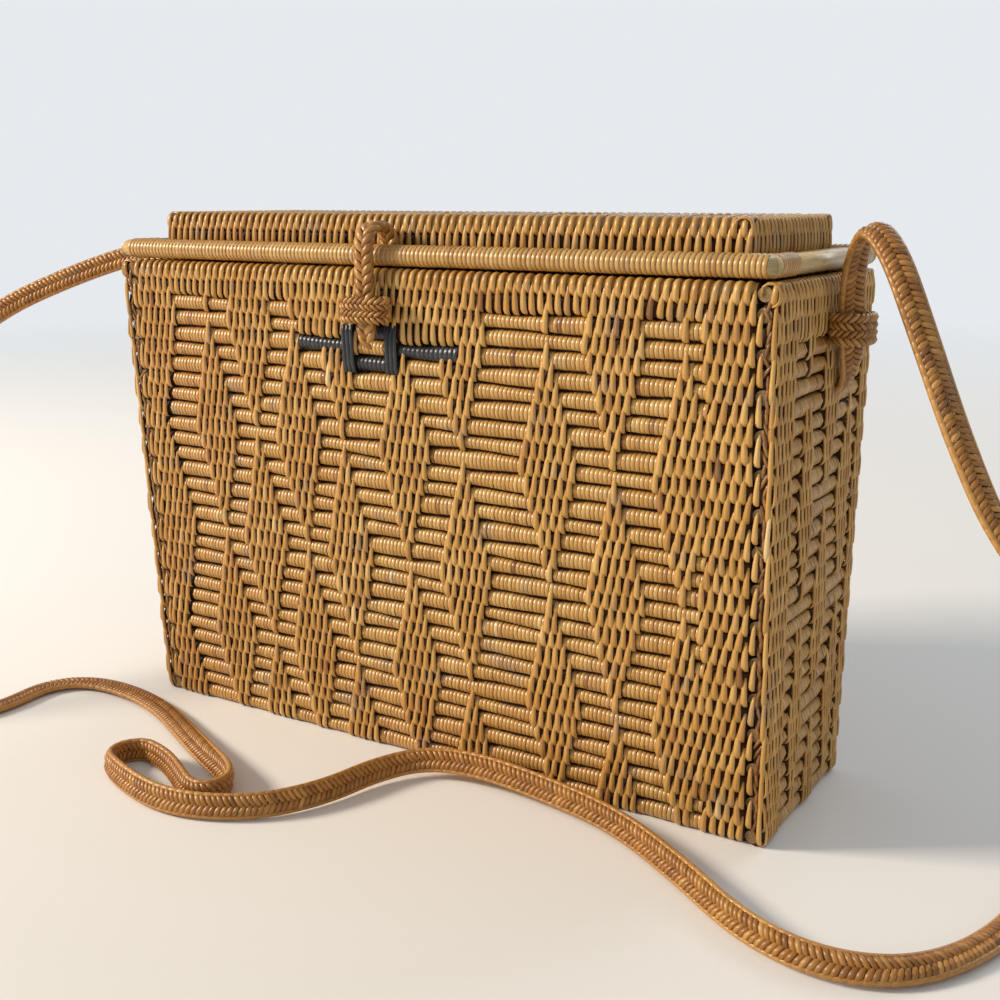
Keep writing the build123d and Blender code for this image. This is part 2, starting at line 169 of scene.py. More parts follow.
def shapeStrand(rings, sides=6, swap=False):
    # rings: across, outward, along, half width, half thickness. The cylinder's rings start
    # far apart and far up, so that each is picked, sized, turned to the strand's line and
    # placed without meeting those that are done
    deselectAll()
    count = len(rings)
    bpy.ops.mesh.primitive_cylinder_add(vertices=sides, radius=1, depth=(count - 1) * ringSpread)
    obj = bpy.context.object
    setMode("EDIT")
    starts = [(i - (count - 1) / 2) * ringSpread for i in range(count)]
    for start in starts[1:-1]:
        cutMesh((0, 0, start), (0, 0, 1))
    selectAll()
    bpy.ops.transform.translate(value=(0, 0, ringLift))
    setMode("OBJECT")
    places = vertexPlaces(obj)
    ringOf = np.rint((places[:, 2] - ringLift) / ringSpread + (count - 1) / 2).astype(int)
    line = np.array([[r[0], -r[1], r[2]] for r in rings], float)
    run = runAlong(line)
    setMode("EDIT")
    for i, ring in enumerate(rings):
        before, after = line[max(i - 1, 0)], line[min(i + 1, count - 1)]
        tilt = math.atan2(after[1] - before[1], after[2] - before[2])
        centre = (0, 0, starts[i] + ringLift)
        pickVertices(obj, lambda co: abs(co.z - centre[2]) < 1)
        bpy.ops.transform.resize(value=(ring[3], ring[4], 1), center_override=centre)
        bpy.ops.transform.rotate(value=tilt, orient_axis="X", center_override=centre)
        bpy.ops.transform.translate(value=(ring[0], -ring[1], ring[2] - centre[2]))
    setMode("OBJECT")
    widths = np.array([r[3] for r in rings])[ringOf]
    return readShape(obj, places[:, 0] * widths, run[ringOf], swap)


def shapeWrap(width, radiusOut, radiusUp, sides=10, crown=0.6, whole=False, dip=0.93):
    # one turn of splint round a rod: a short cylinder whose edges fall away, open towards
    # the back of the weave unless the rod is seen all round
    obj = addRod(sides, 1, width)
    setMode("EDIT")
    for side in (-1, 1):
        cutMesh((side * width / 2 * crown, 0, 0), (1, 0, 0))
    if not whole:
        cutMesh((0, 0.35, 0), (0, 1, 0), clear_outer=True)
    # the ends lie against the next turns and never show
    bpy.ops.mesh.select_mode(type="FACE")
    bpy.ops.mesh.select_all(action="DESELECT")
    setMode("OBJECT")
    for face in obj.data.polygons:
        face.select = abs(face.center.x) > width / 2 - barelyThick
    setMode("EDIT")
    bpy.ops.mesh.delete(type="ONLY_FACE")
    bpy.ops.mesh.select_mode(type="VERT")
    for side in (-1, 1):
        pickVertices(obj, lambda co: abs(co.x - side * width / 2) < barelyThick)
        bpy.ops.transform.resize(value=(1, dip, dip), center_override=(side * width / 2, 0, 0))
    selectAll()
    bpy.ops.transform.resize(value=(1, radiusOut, radiusUp), center_override=(0, 0, 0))
    setMode("OBJECT")
    # painted shade in the seam beside each turn
    return readRound(obj, radiusUp, soil=0.85 * (np.abs(vertexPlaces(obj)[:, 0]) > 0.49 * width))


# copies: every shape is laid through a map from (u, z, outward) to the object
def newHeap():
    heap = {name: [] for name in ("co", "loops", "totals", "fibre", "tone", "creviceShade", "slot")}
    heap["count"] = 0
    return heap


# how far out of its surface a splint starts to darken with painted shade: never, or where it dives under
# others, and the depth over which the painted shade gets quite dark
neverDark = -99.0
divesAt = -0.9
darkOver = 1.3
# each copy's grain starts at its own place on the fibres: across and along, in millimetres
grainSpan = {"across": 40, "along": 400}


def addCopies(heap, shape, surface, places, slot=0, darkFrom=neverDark):
    count = len(places["u"])
    if not count:
        return
    co = shape["co"]
    get = lambda name, usual: np.broadcast_to(np.asarray(places.get(name, usual), float), (count,))[:, None]
    u = get("u", 0) + co[None, :, 0] * get("wide", 1) + get("lean", 0) * co[None, :, 2]
    z = get("z", 0) + co[None, :, 2] * get("tall", 1) + get("rise", 0) * co[None, :, 0]
    out = get("out", 0) - co[None, :, 1] * get("thick", 1)
    world = surface["map"](u, z, out)
    faces = [face[::-1] for face in shape["faces"]] if surface.get("mirrored") else shape["faces"]
    loops = np.concatenate([np.array(face) for face in faces])
    totals = np.array([len(face) for face in faces])
    size = len(co)
    offsets = heap["count"] + np.arange(count)[:, None] * size
    heap["co"].append(world.reshape(-1, 3))
    heap["loops"].append((loops[None, :] + offsets).reshape(-1))
    heap["totals"].append(np.tile(totals, count))
    shift = np.stack([chance.uniform(0, grainSpan[way], count) for way in ("across", "along")], 1)
    heap["fibre"].append((shape["fibre"][None] + shift[:, None]).reshape(-1, 2))
    tone = np.broadcast_to(np.asarray(places.get("tone", 0.5), float), (count,))
    heap["tone"].append(np.repeat(tone, len(totals)))
    depth = np.clip((darkFrom - out) / darkOver, 0, 1)
    heap["creviceShade"].append(np.maximum(depth, shape["soil"][None, :]).reshape(-1))
    heap["slot"].append(np.full(count * len(totals), slot))
    heap["count"] += count * size


def makePiece(name, heap, materials, bodyName, nodes):
    co = np.concatenate(heap["co"]) * mm
    loops = np.concatenate(heap["loops"]).astype(np.int32)
    totals = np.concatenate(heap["totals"]).astype(np.int32)
    starts = np.concatenate([[0], np.cumsum(totals)[:-1]]).astype(np.int32)
    mesh = bpy.data.meshes.new(name)
    mesh.vertices.add(len(co))
    mesh.vertices.foreach_set("co", co.astype(np.float32).reshape(-1))
    mesh.loops.add(len(loops))
    mesh.loops.foreach_set("vertex_index", loops)
    mesh.polygons.add(len(totals))
    mesh.polygons.foreach_set("loop_start", starts)
    mesh.polygons.foreach_set("loop_total", totals)
    mesh.update(calc_edges=True)
    mesh.polygons.foreach_set("use_smooth", np.ones(len(totals), bool))
    fibre = np.concatenate(heap["fibre"])[loops]
    layer = mesh.uv_layers.new(name="fibre")
    layer.data.foreach_set("uv", fibre.astype(np.float32).reshape(-1))
    for shade, domain in (("tone", "FACE"), ("creviceShade", "POINT")):
        attribute = mesh.attributes.new(shade, "FLOAT", domain)
        attribute.data.foreach_set("value", np.concatenate(heap[shade]).astype(np.float32))
    for material in materials:
        mesh.materials.append(material)
    mesh.polygons.foreach_set("material_index", np.concatenate(heap["slot"]).astype(np.int32))
    mesh.validate()
    obj = bpy.data.objects.new(name, mesh)
    bpy.context.scene.collection.objects.link(obj)
    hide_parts(*nodes)
    if bodyName:
        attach(obj, bodyName)
    triangles = int((totals - 2).sum())
    print(name, "triangles", triangles)
    return obj


# materials
def mixColour(tree, kind, factor, below, above):
    # above is a socket or a colour
    node = addNode(tree, "ShaderNodeMix", {"data_type": "RGBA", "blend_type": kind})
    tree.links.new(below, node.inputs[6])
    for value, socket in ((factor, node.inputs[0]), (above, node.inputs[7])):
        if isinstance(value, bpy.types.NodeSocket):
            tree.links.new(value, socket)
        else:
            socket.default_value = linear(value) if isinstance(value, str) else value
    return node.outputs[2]


def vineMaterial(name, stops, streak, gloss, patch, patchColour, greyColour, bump):
    material = bpy.data.materials.new(name)
    material.use_nodes = True
    tree = material.node_tree
    tree.nodes.clear()
    output = addNode(tree, "ShaderNodeOutputMaterial")
    shader = addNode(tree, "ShaderNodeBsdfPrincipled",
                     {"Coat Weight": gloss["coat"], "Coat Roughness": gloss["coatRoughness"], "IOR": 1.5})
    tree.links.new(shader.outputs[0], output.inputs[0])
    place = addNode(tree, "ShaderNodeTexCoord")
    tone = addNode(tree, "ShaderNodeAttribute", {"attribute_name": "tone"})
    creviceShade = addNode(tree, "ShaderNodeAttribute", {"attribute_name": "creviceShade"})
    fibre = addNode(tree, "ShaderNodeUVMap", {"uv_map": "fibre"})
    ramp = addNode(tree, "ShaderNodeValToRGB", None, {0: tone.outputs["Fac"]})
    setRamp(ramp, stops)
    # warmer patches a few centimetres wide, most of them low on the left, and greyish ones
    # where the vine dried darker
    warm = addNode(tree, "ShaderNodeTexNoise", {"Scale": 1 / (patch * mm), "Detail": 2.0},
                   {"Vector": place.outputs["Object"]})
    lowLeft = addNode(tree, "ShaderNodeVectorMath", {"operation": "DOT_PRODUCT", 1: (-1.1, -0.6, -0.9)},
                      {0: place.outputs["Object"]})
    warmth = addNode(tree, "ShaderNodeMath", {"operation": "ADD"},
                     {0: warm.outputs["Fac"], 1: lowLeft.outputs["Value"]})
    warmFactor = addNode(tree, "ShaderNodeMapRange", {1: 0.38, 2: 0.74, 3: 0.0, 4: 0.6},
                         {0: warmth.outputs[0]})
    warmed = mixColour(tree, "MIX", warmFactor.outputs[0], ramp.outputs[0], patchColour)
    grey = addNode(tree, "ShaderNodeTexNoise", {"Scale": 1 / (11 * mm), "Detail": 1.0, "Roughness": 0.4},
                   {"Vector": place.outputs["Object"]})
    greyFactor = addNode(tree, "ShaderNodeMapRange", {1: 0.6, 2: 0.74, 3: 0.0, 4: 0.4},
                         {0: grey.outputs["Fac"]})
    greyed = mixColour(tree, "MIX", greyFactor.outputs[0], warmed, greyColour)
    # the fibres run along each splint, about four to a millimetre across it
    stretch = addNode(tree, "ShaderNodeMapping", {"Scale": (streak["across"], streak["along"], 1.0)},
                      {"Vector": fibre.outputs[0]})
    lines = addNode(tree, "ShaderNodeTexNoise", {"Scale": 1.0, "Detail": 3.0, "Roughness": 0.6},
                    {"Vector": stretch.outputs[0]})
    lineShade = addNode(tree, "ShaderNodeMapRange", {1: 0.3, 2: 0.7, 3: streak["dark"], 4: streak["light"]},
                        {0: lines.outputs["Fac"]})
    lined = mixColour(tree, "MULTIPLY", 1.0, greyed, lineShade.outputs[0])
    # painted shade, with some dust, where a splint dives under the next one
    creviceShaded = mixColour(tree, "MIX", creviceShade.outputs["Fac"], lined, streak["creviceShade"])
    tree.links.new(creviceShaded, shader.inputs["Base Color"])
    rough = addNode(tree, "ShaderNodeMapRange", {1: 0.3, 2: 0.7, 3: gloss["low"], 4: gloss["high"]},
                    {0: lines.outputs["Fac"]})
    tree.links.new(rough.outputs[0], shader.inputs["Roughness"])
    relief = addNode(tree, "ShaderNodeBump", {"Strength": bump, "Distance": 0.12 * mm},
                     {"Height": lines.outputs["Fac"]})
    tree.links.new(relief.outputs[0], shader.inputs["Normal"])
    return material


# split vine, dried and smoked golden brown: its own waxy skin gives a soft gloss, each
# splint takes the smoke differently, and the crevices are darkened with painted shade and some dust
smokedVine = vineMaterial(
    "smokedVineSplint",
    [(0.0, "#865626"), (0.25, "#AA7739"), (0.5, "#C29146"), (0.75, "#D3A75F"), (1.0, "#E4C488")],
    {"across": 3.6, "along": 0.22, "dark": 0.8, "light": 1.1, "creviceShade": "#421B05"},
    {"coat": 0.35, "coatRoughness": 0.22, "low": 0.32, "high": 0.5}, 55, "#BC7F33", "#95806C", 0.5)

# the same vine on the rods underneath, seen only between the splints: a dark colour that is painted shade for
# the gaps, and unpolished
shadedRodCore = vineMaterial(
    "paintedShadeVineCore",
    [(0.0, "#351604"), (1.0, "#4C270E")],
    {"across": 2.0, "along": 0.2, "dark": 0.8, "light": 1.1, "creviceShade": "#2A1408"},
    {"coat": 0.0, "coatRoughness": 0.5, "low": 0.7, "high": 0.9}, 60, "#2A1A0C", "#241A12", 0.3)

# inside, the rods show their wraps from behind: the same vine, a turn every two millimetres
insideVine = vineMaterial(
    "smokedVineInside",
    [(0.0, "#7F5426"), (0.5, "#B48745"), (1.0, "#D0AA6C")],
    {"across": 1.2, "along": 0.12, "dark": 0.6, "light": 1.12, "creviceShade": "#3C2210"},
    {"coat": 0.1, "coatRoughness": 0.4, "low": 0.45, "high": 0.65}, 45, "#A9682C", "#8A715C", 0.9)

# cut rod: pale pith with the open pores of the vine's end grain
cutRod = vineMaterial(
    "cutRodEnd",
    [(0.0, "#6F5231"), (0.5, "#9A7A4C"), (1.0, "#BDA070")],
    {"across": 2.2, "along": 2.2, "dark": 0.3, "light": 1.15, "creviceShade": "#421B05"},
    {"coat": 0.0, "coatRoughness": 0.5, "low": 0.7, "high": 0.9}, 60, "#9A7440", "#7F7466", 1.0)

# bare rod: peeled and smoked, smooth, with the bark's faint lengthwise grain
peeledRod = vineMaterial(
    "peeledRod",
    [(0.0, "#A98F60"), (0.5, "#C9B17E"), (1.0, "#DFCBA0")],
    {"across": 0.25, "along": 1.6, "dark": 0.74, "light": 1.1, "creviceShade": "#3C2210"},
    {"coat": 0.25, "coatRoughness": 0.25, "low": 0.34, "high": 0.5}, 30, "#B98F54", "#85725A", 0.5)

# fine vine braided by hand, more even in colour and a little more polished by wear
braidedVine = vineMaterial(
    "braidedVine",
    [(0.0, "#744516"), (0.3, "#905B1C"), (0.6, "#AA722B"), (1.0, "#CC984F")],
    {"across": 5.0, "along": 0.3, "dark": 0.72, "light": 1.12, "creviceShade": "#4A2B14"},
    {"coat": 0.3, "coatRoughness": 0.26, "low": 0.34, "high": 0.52}, 70, "#AE7028", "#8A6845", 0.7)

# vine dyed black before it was woven: almost no colour, with grey glints on the worn crests
dyedSplint = vineMaterial(
    "blackDyedSplint",
    [(0.0, "#0E1014"), (0.6, "#1B1E25"), (1.0, "#2E3138")],
    {"across": 4.0, "along": 0.25, "dark": 0.75, "light": 1.3, "creviceShade": "#07080A"},
    {"coat": 0.3, "coatRoughness": 0.25, "low": 0.3, "high": 0.5}, 12, "#191C22", "#3A3D44", 0.6)


# camera: the photograph's, fitted to the body's six corners
cameraFacts = {"lens": 46.3, "place": (264.5, -403.7, 206.3), "down": 13.26, "turn": 32.10}
cameraData = bpy.data.cameras.new("photoCamera")
cameraData.lens = cameraFacts["lens"]
cameraData.sensor_width = 36
cameraData.clip_start = 0.01
cameraData.clip_end = 50
camera = bpy.data.objects.new("photoCamera", cameraData)
camera.location = Vector(cameraFacts["place"]) * mm
camera.rotation_euler = (math.radians(90 - cameraFacts["down"]), 0, math.radians(cameraFacts["turn"]))
bpy.context.scene.collection.objects.link(camera)
bpy.context.scene.camera = camera

# floor and light: a pale studio floor that fades into the backdrop, and three soft lamps
stageFacts = {"radius": 8.0, "colour": "#E9E7E3", "farColour": "#E6EAEE", "fadeStart": 0.45, "fadeEnd": 2.0}
deselectAll()
bpy.ops.mesh.primitive_circle_add(vertices=96, radius=stageFacts["radius"], fill_type="NGON")
floor = bpy.context.object
floor.name = "studio_floor"
paper = bpy.data.materials.new("palePaper")
paper.use_nodes = True
paperTree = paper.node_tree
paperShader = paperTree.nodes["Principled BSDF"]
paperShader.inputs["Base Color"].default_value = linear(stageFacts["colour"])
paperShader.inputs["Roughness"].default_value = 0.9
# away from the object the camera sees the backdrop's own colour; near it, light and shadow
paperPlace = addNode(paperTree, "ShaderNodeTexCoord")
paperFar = addNode(paperTree, "ShaderNodeVectorMath", {"operation": "LENGTH"},
                   {0: paperPlace.outputs["Object"]})
paperFade = addNode(paperTree, "ShaderNodeMapRange",
                    {"interpolation_type": "SMOOTHSTEP", 1: stageFacts["fadeStart"], 2: stageFacts["fadeEnd"],
                     3: 0.0, 4: 1.0}, {0: paperFar.outputs["Value"]})
paperPath = addNode(paperTree, "ShaderNodeLightPath")
paperSeen = addNode(paperTree, "ShaderNodeMath", {"operation": "ADD", "use_clamp": True},
                    {0: paperPath.outputs["Is Camera Ray"], 1: paperPath.outputs["Is Glossy Ray"]})
paperFactor = addNode(paperTree, "ShaderNodeMath", {"operation": "MULTIPLY"},
                      {0: paperFade.outputs[0], 1: paperSeen.outputs[0]})
paperGlow = addNode(paperTree, "ShaderNodeEmission",
                    {"Color": linear(stageFacts["farColour"]), "Strength": 1.0})
paperMix = addNode(paperTree, "ShaderNodeMixShader", None,
                   {0: paperFactor.outputs[0], 1: paperShader.outputs[0], 2: paperGlow.outputs[0]})
paperTree.links.new(paperMix.outputs[0], paperTree.nodes["Material Output"].inputs[0])
floor.data.materials.append(paper)

world = bpy.data.worlds.new("studioWorld")
bpy.context.scene.world = world
world.use_nodes = True
worldTree = world.node_tree
skyLight = worldTree.nodes["Background"]
skyLight.inputs[0].default_value = linear("#EAF0F6")
skyLight.inputs[1].default_value = 0.5
skySeen = addNode(worldTree, "ShaderNodeBackground",
                  {"Color": linear(stageFacts["farColour"]), "Strength": 1.0})
skyPath = addNode(worldTree, "ShaderNodeLightPath")
skyMix = addNode(worldTree, "ShaderNodeMixShader", None,
                 {0: skyPath.outputs["Is Camera Ray"], 1: skyLight.outputs[0], 2: skySeen.outputs[0]})
worldTree.links.new(skyMix.outputs[0], worldTree.nodes["World Output"].inputs[0])


def addLamp(name, place, aim, size, watts, colour):
    data = bpy.data.lights.new(name, "AREA")
    data.shape = "RECTANGLE"
    data.size, data.size_y = size
    data.energy = watts
    data.color = linear(colour)[:3]
    lamp = bpy.data.objects.new(name, data)
    lamp.location = place
    lamp.rotation_euler = (Vector(aim) - Vector(place)).to_track_quat("-Z", "Y").to_euler()
    bpy.context.scene.collection.objects.link(lamp)


bagMiddle = (0, 0, 0.1)
addLamp("windowLight", (-1.55, -1.0, 1.0), bagMiddle, (0.5, 0.4), 50, "#FFF1DE")
addLamp("fillLight", (1.5, -1.2, 0.9), bagMiddle, (1.2, 1.0), 2.6, "#F4F6DE")
addLamp("backLight", (0.3, 1.6, 1.3), bagMiddle, (1.2, 0.8), 9, "#F6F8FF")
bpy.context.scene.view_settings.view_transform = "Standard"

# strap: a long flat braid on the route's own spline
strap = {"width": 9.0, "plaitPitch": 2.0, "plaitStart": 1.5, "plaitSpare": 8, "edgePitch": 3.5,
         "edgeAt": 3.5, "edgeStart": 3.0}
# the route's points, and the braid's turn there: 180 lies flat, 90 stands on edge, and more
# leans it back with its face up towards the front
strapRoute = [
    (-129.6, 10.0, 143.5, 90), (-138.2, 9.5, 146.0, 90), (-141.3, 6.8, 153.8, 90), (-142.0, 3.6, 165.5, 90),
    (-145.2, 0.4, 177.0, 88), (-155.5, -4.5, 184.5, 84), (-173.0, -12.0, 181.0, 80),
    (-199.0, -24.5, 171.0, 80), (-224.0, -38.0, 158.5, 80), (-243.0, -57.0, 138.0, 82),
    (-249.0, -82.0, 110.0, 90), (-245.0, -106.0, 79.0, 105), (-230.0, -123.0, 49.0, 130),
    (-209.0, -129.0, 23.0, 160), (-190.0, -124.0, 6.5, 180), (-176.5, -109.0, 2.2, 180),
    (-173.0, -89.0, 2.0, 180), (-176.5, -68.0, 2.0, 180), (-165.5, -54.0, 2.0, 180),
    (-141.0, -52.5, 2.2, 176), (-113.0, -60.0, 2.6, 178), (-86.0, -74.0, 3.3, 164),
    (-64.0, -85.5, 4.5, 138), (-49.5, -92.0, 4.8, 118), (-41.0, -97.0, 4.8, 100), (-38.0, -104.0, 4.7, 90),
    (-41.5, -110.5, 4.7, 84), (-48.5, -110.8, 4.8, 76), (-58.0, -105.4, 4.9, 72), (-70.0, -98.8, 4.9, 76),
    (-84.0, -94.6, 4.8, 84), (-88.5, -96.0, 4.7, 90), (-92.4, -101.8, 4.7, 92), (-90.8, -108.8, 4.7, 96),
    (-84.0, -112.6, 4.8, 102), (-72.0, -117.0, 4.9, 108), (-55.0, -121.0, 4.9, 112),
    (-37.0, -119.0, 4.9, 114), (-17.5, -107.5, 4.9, 112), (-6.0, -87.0, 4.9, 110), (-1.5, -63.5, 5.2, 112),
    (9.5, -48.5, 6.5, 116), (30.0, -44.8, 7.5, 116), (57.0, -46.0, 6.2, 116), (89.0, -52.0, 5.0, 118),
    (120.0, -70.0, 4.9, 120), (146.0, -88.5, 4.9, 122), (168.0, -95.5, 4.7, 128), (187.0, -91.5, 4.3, 140),
    (201.0, -77.0, 3.2, 160), (211.0, -52.0, 2.0, 180), (216.0, -22.0, 2.0, 180), (229.0, 4.0, 2.0, 180),
    (250.0, 17.0, 2.6, 185), (268.0, 9.0, 6.5, 195), (273.5, -14.0, 17.0, 200), (265.0, -32.0, 38.0, 202),
    (245.0, -38.5, 65.0, 203), (221.0, -37.5, 90.0, 203), (199.0, -36.0, 112.5, 203),
    (184.0, -32.0, 140.0, 203), (170.0, -26.0, 170.0, 203), (159.0, -19.0, 191.0, 204),
    (149.0, -11.0, 199.0, 204), (143.0, -4.0, 188.0, 210), (141.5, 1.0, 172.0, 215),
    (141.0, 6.5, 155.0, 215), (138.2, 9.5, 146.0, 215), (129.6, 10.0, 143.5, 215)]


def splinePoints(route):
    # the route's smooth line, read from a NURBS curve with these control points
    curve = bpy.data.curves.new("strapLine", "CURVE")
    curve.dimensions = "3D"
    spline = curve.splines.new("NURBS")
    spline.points.add(len(route) - 1)
    for point, (x, y, z, _) in zip(spline.points, route):
        point.co = (x * mm, y * mm, z * mm, 1)
    spline.order_u = 3
    spline.use_endpoint_u = True
    spline.resolution_u = 24
    holder = bpy.data.objects.new("strapLine", curve)
    bpy.context.scene.collection.objects.link(holder)
    bpy.context.view_layer.update()
    mesh = bpy.data.meshes.new_from_object(holder.evaluated_get(bpy.context.evaluated_depsgraph_get()))
    line = np.array([v.co[:] for v in mesh.vertices]) / mm
    bpy.data.meshes.remove(mesh)
    bpy.data.objects.remove(holder)
    bpy.data.curves.remove(curve)
    keep = np.concatenate([[True], np.linalg.norm(np.diff(line, axis=0), axis=1) > 1e-3])
    return line[keep]


strapLine = splinePoints(strapRoute)
strapRun = runAlong(strapLine)
strapTotal = strapRun[-1]
print("strap line", len(strapLine), "points,", round(strapTotal, 1), "mm")


def strapFrames():
    # the braid's width direction and its face's normal at every point of the line
    tangent = unitRows(np.gradient(strapLine, axis=0))
    # the roll is eased between the points of the route nearest to each point of the line
    controls = np.array([p[:3] for p in strapRoute], float)
    places = []
    start, ahead = 0, 140
    for control in controls:
        window = strapLine[start:start + ahead]
        nearest = start + int(np.argmin(np.linalg.norm(window - control, axis=1)))
        places.append(strapRun[nearest] + len(places) * 1e-6)
        start = nearest
    roll = np.radians(np.interp(strapRun, places, [p[3] for p in strapRoute]))
    side = np.cross(tangent, (0, 0, 1.0))
    # where the line climbs, the level sideways direction is carried on from the flatter part
    steep = 0.05
    steady = np.linalg.norm(side, axis=1)
    side[steady < steep] = side[np.argmin(np.abs(steady - steep))]
    side = unitRows(side)
    up = np.cross(side, tangent)
    width = side * np.cos(roll)[:, None] + up * np.sin(roll)[:, None]
    normal = unitRows(np.cross(width, tangent))
    reach = 15
    kernel = np.ones(2 * reach + 1) / (2 * reach + 1)
    for values in (width, normal):
        for axis in range(3):
            padded = np.pad(values[:, axis], reach, mode="edge")
            values[:, axis] = np.convolve(padded, kernel, mode="valid")
    return unitRows(width), unitRows(normal)


strapWidth, strapNormal = strapFrames()


def strapMap(u, z, out):
    # u runs across the braid, z along the line, outward is away from its face
    world = np.zeros(u.shape + (3,))
    for axis in range(3):
        along, across, away = (np.interp(z, strapRun, values[:, axis])
                               for values in (strapLine, strapWidth, strapNormal))
        world[..., axis] = along + u * across + out * away
    return world


def edgeSurfaces(place):
    # the same laying map for both edges of a flat braid, the second one mirrored
    return [(edge, {"map": lambda u, z, out, edge=edge: place(edge * u, z, out), "mirrored": edge < 0})
            for edge in (1, -1)]


# one strand of the flat braid: from the middle of one face out to the edge, round it, and
# back to the middle of the other face, a plait further on
plaitRings = [(-0.8, 0.35, -0.7, 0.7, 0.35), (-0.1, 1.1, 0.4, 0.98, 0.55), (0.6, 1.4, 1.7, 1.08, 0.6),
              (1.3, 0.85, 3.25, 1.05, 0.5), (3.1, -0.85, 3.25, 1.05, 0.5), (3.8, -1.4, 1.7, 1.08, 0.6),
              (4.5, -1.1, 0.4, 0.98, 0.55), (5.2, -0.35, -0.7, 0.7, 0.35)]
plait = shapeStrand(plaitRings, 6, swap=True)
strapHeap = newHeap()
plaitCount = int((strapTotal - strap["plaitSpare"]) / strap["plaitPitch"])
plaitPlaces = strap["plaitStart"] + np.arange(plaitCount) * strap["plaitPitch"]
for edge, surface in edgeSurfaces(strapMap):
    tones = np.clip(0.55 + 0.16 * chance.standard_normal(plaitCount), 0, 1)
    addCopies(strapHeap, plait, surface, {
        "u": 0.0 * plaitPlaces, "z": plaitPlaces + (0 if edge > 0 else 0.5 * strap["plaitPitch"]),
        "tone": tones, "tall": chance.uniform(0.97, 1.03, plaitCount)})
# the strand that is turning back runs along each edge for a while and makes it smooth
edgeStrand = shapeStrand([(0, 0, 2.7, 0.6, 0.7), (0, 0, 1.8, 1.02, 1.2), (0, 0, -1.8, 1.02, 1.2),
                          (0, 0, -2.7, 0.6, 0.7)])
edgePlaces = np.arange(strap["edgeStart"], strapTotal - strap["edgeStart"], strap["edgePitch"])
for edge, surface in edgeSurfaces(strapMap):
    addCopies(strapHeap, edgeStrand, surface, {
        "u": np.full(len(edgePlaces), strap["edgeAt"]), "z": edgePlaces,
        "tone": 0.78 + 0.12 * np.sin(edgePlaces * 0.05)})
strapPiece = makePiece("strap_braid", strapHeap, [braidedVine], "basket", ["strap"])

# the weave of the walls
weave = {"columns": 158, "growing": (-93.0, -51.5, -3.0, 56.5, 104.5),
         "shrinking": (-72.5, -28.5, 23.0, 80.0), "peakRow": 4, "halfRows": 7, "mostStitches": 7}
sideWeave = {"columns": 58, "middle": 4.7, "spread": 21.5, "width": 15.0, "peakRow": 12.7, "halfRows": 6.1,
             "frontBorder": 15.0, "backBorder": 9.0}
columnPitch = 2 * body["frontHalf"] / weave["columns"]

# a splint of the stitched parts: narrow where it comes up between two others, broad over
# its rod, and tucked in below. z is measured from the top of its row
stitchRings = [(0, -1.0, 4.0, 0.5, 0.35), (0, -0.45, 2.4, 0.84, 0.45), (0, 0.0, -0.4, 1.02, 0.52),
               (0, 0.12, -2.8, 1.2, 0.55), (0, 0.02, -4.6, 1.27, 0.55), (0, -0.6, -5.75, 1.12, 0.5),
               (0, -1.9, -6.3, 0.8, 0.4)]
stitch = shapeStrand(stitchRings, 5)
# the same splint on the top row goes up over the wall's edge and down its inner face
rimStitchRings = [(0, -5.7, -3.6, 1.1, 0.4), (0, -5.3, -0.9, 1.1, 0.45), (0, -3.9, 0.0, 1.1, 0.5),
                  (0, -2.1, 0.08, 1.1, 0.5), (0, -0.75, -0.7, 1.1, 0.52), (0, -0.05, -2.3, 1.12, 0.55),
                  (0, 0.08, -4.1, 1.22, 0.55), (0, -0.15, -5.2, 1.2, 0.55), (0, -0.9, -6.0, 1.05, 0.5),
                  (0, -2.2, -6.5, 0.8, 0.4)]
rimStitch = shapeStrand(rimStitchRings, 5)
# on the short walls the splint is thin and keeps its width
sideStitch = shapeStrand([(0, -1.2, 4.6, 0.5, 0.35), (0, -0.4, 3.2, 0.8, 0.45), (0, 0.0, 0.6, 0.85, 0.5),
                          (0, 0.1, -2.4, 0.88, 0.5), (0, 0.02, -4.6, 0.88, 0.5), (0, -0.7, -5.8, 0.8, 0.45),
                          (0, -1.9, -6.3, 0.6, 0.4)], 5)
# a turn round a bare rod is a little wider than its column, so that no gap shows beside it
snug = 1.02
wrap = shapeWrap(columnPitch * snug, 2.9, 3.06, sides=8, crown=0.78, dip=0.95)


def rodShape(length, cuts, radiusOut, radiusUp, sides=12):
    # a round rod cut across now and then, so that it can follow the wall's slight swell
    obj = addRod(sides, 1, length)
    setMode("EDIT")
    for i in range(1, cuts):
        cutMesh((-length / 2 + i * length / cuts, 0, 0), (1, 0, 0))
    selectAll()
    bpy.ops.transform.resize(value=(1, radiusOut, radiusUp), center_override=(0, 0, 0))
    setMode("OBJECT")
    shape = readRound(obj, radiusUp)
    # the faces that look outwards and the cut ends are painted dark, as shade, where they show between the
    # splints
    middles = np.array([shape["co"][face].mean(0) for face in shape["faces"]])
    shape["end"] = np.abs(middles[:, 0]) > length / 2 - barelyThick
    shape["outer"] = (middles[:, 1] < 0.25 * radiusOut) | shape["end"]
    return shape


def swell(u, z, halfWide):
    # the wall stands out a little in its middle, and no rod is quite straight
    across = np.clip(1 - (u / halfWide) ** 2, 0, 1)
    height = np.clip(4 * z * (body["wallHeight"] - z) / body["wallHeight"] ** 2, 0, 1)
    wave = np.sin(u * 0.047 + z * 0.09) * 0.35 + np.sin(u * 0.11 - z * 0.05 + 1.3) * 0.2
    return across * height * (1.1 + wave)


def waver(u, z, halfWide):
    edge = np.clip(1 - (u / halfWide) ** 2, 0, 1) ** 0.5
    height = np.clip(z * (body["wallHeight"] - z) / 900.0, 0, 1)
    return edge * height * (0.45 * np.sin(u * 0.055 + z * 0.31) + 0.25 * np.sin(u * 0.15 + z * 0.53 + 2.0))


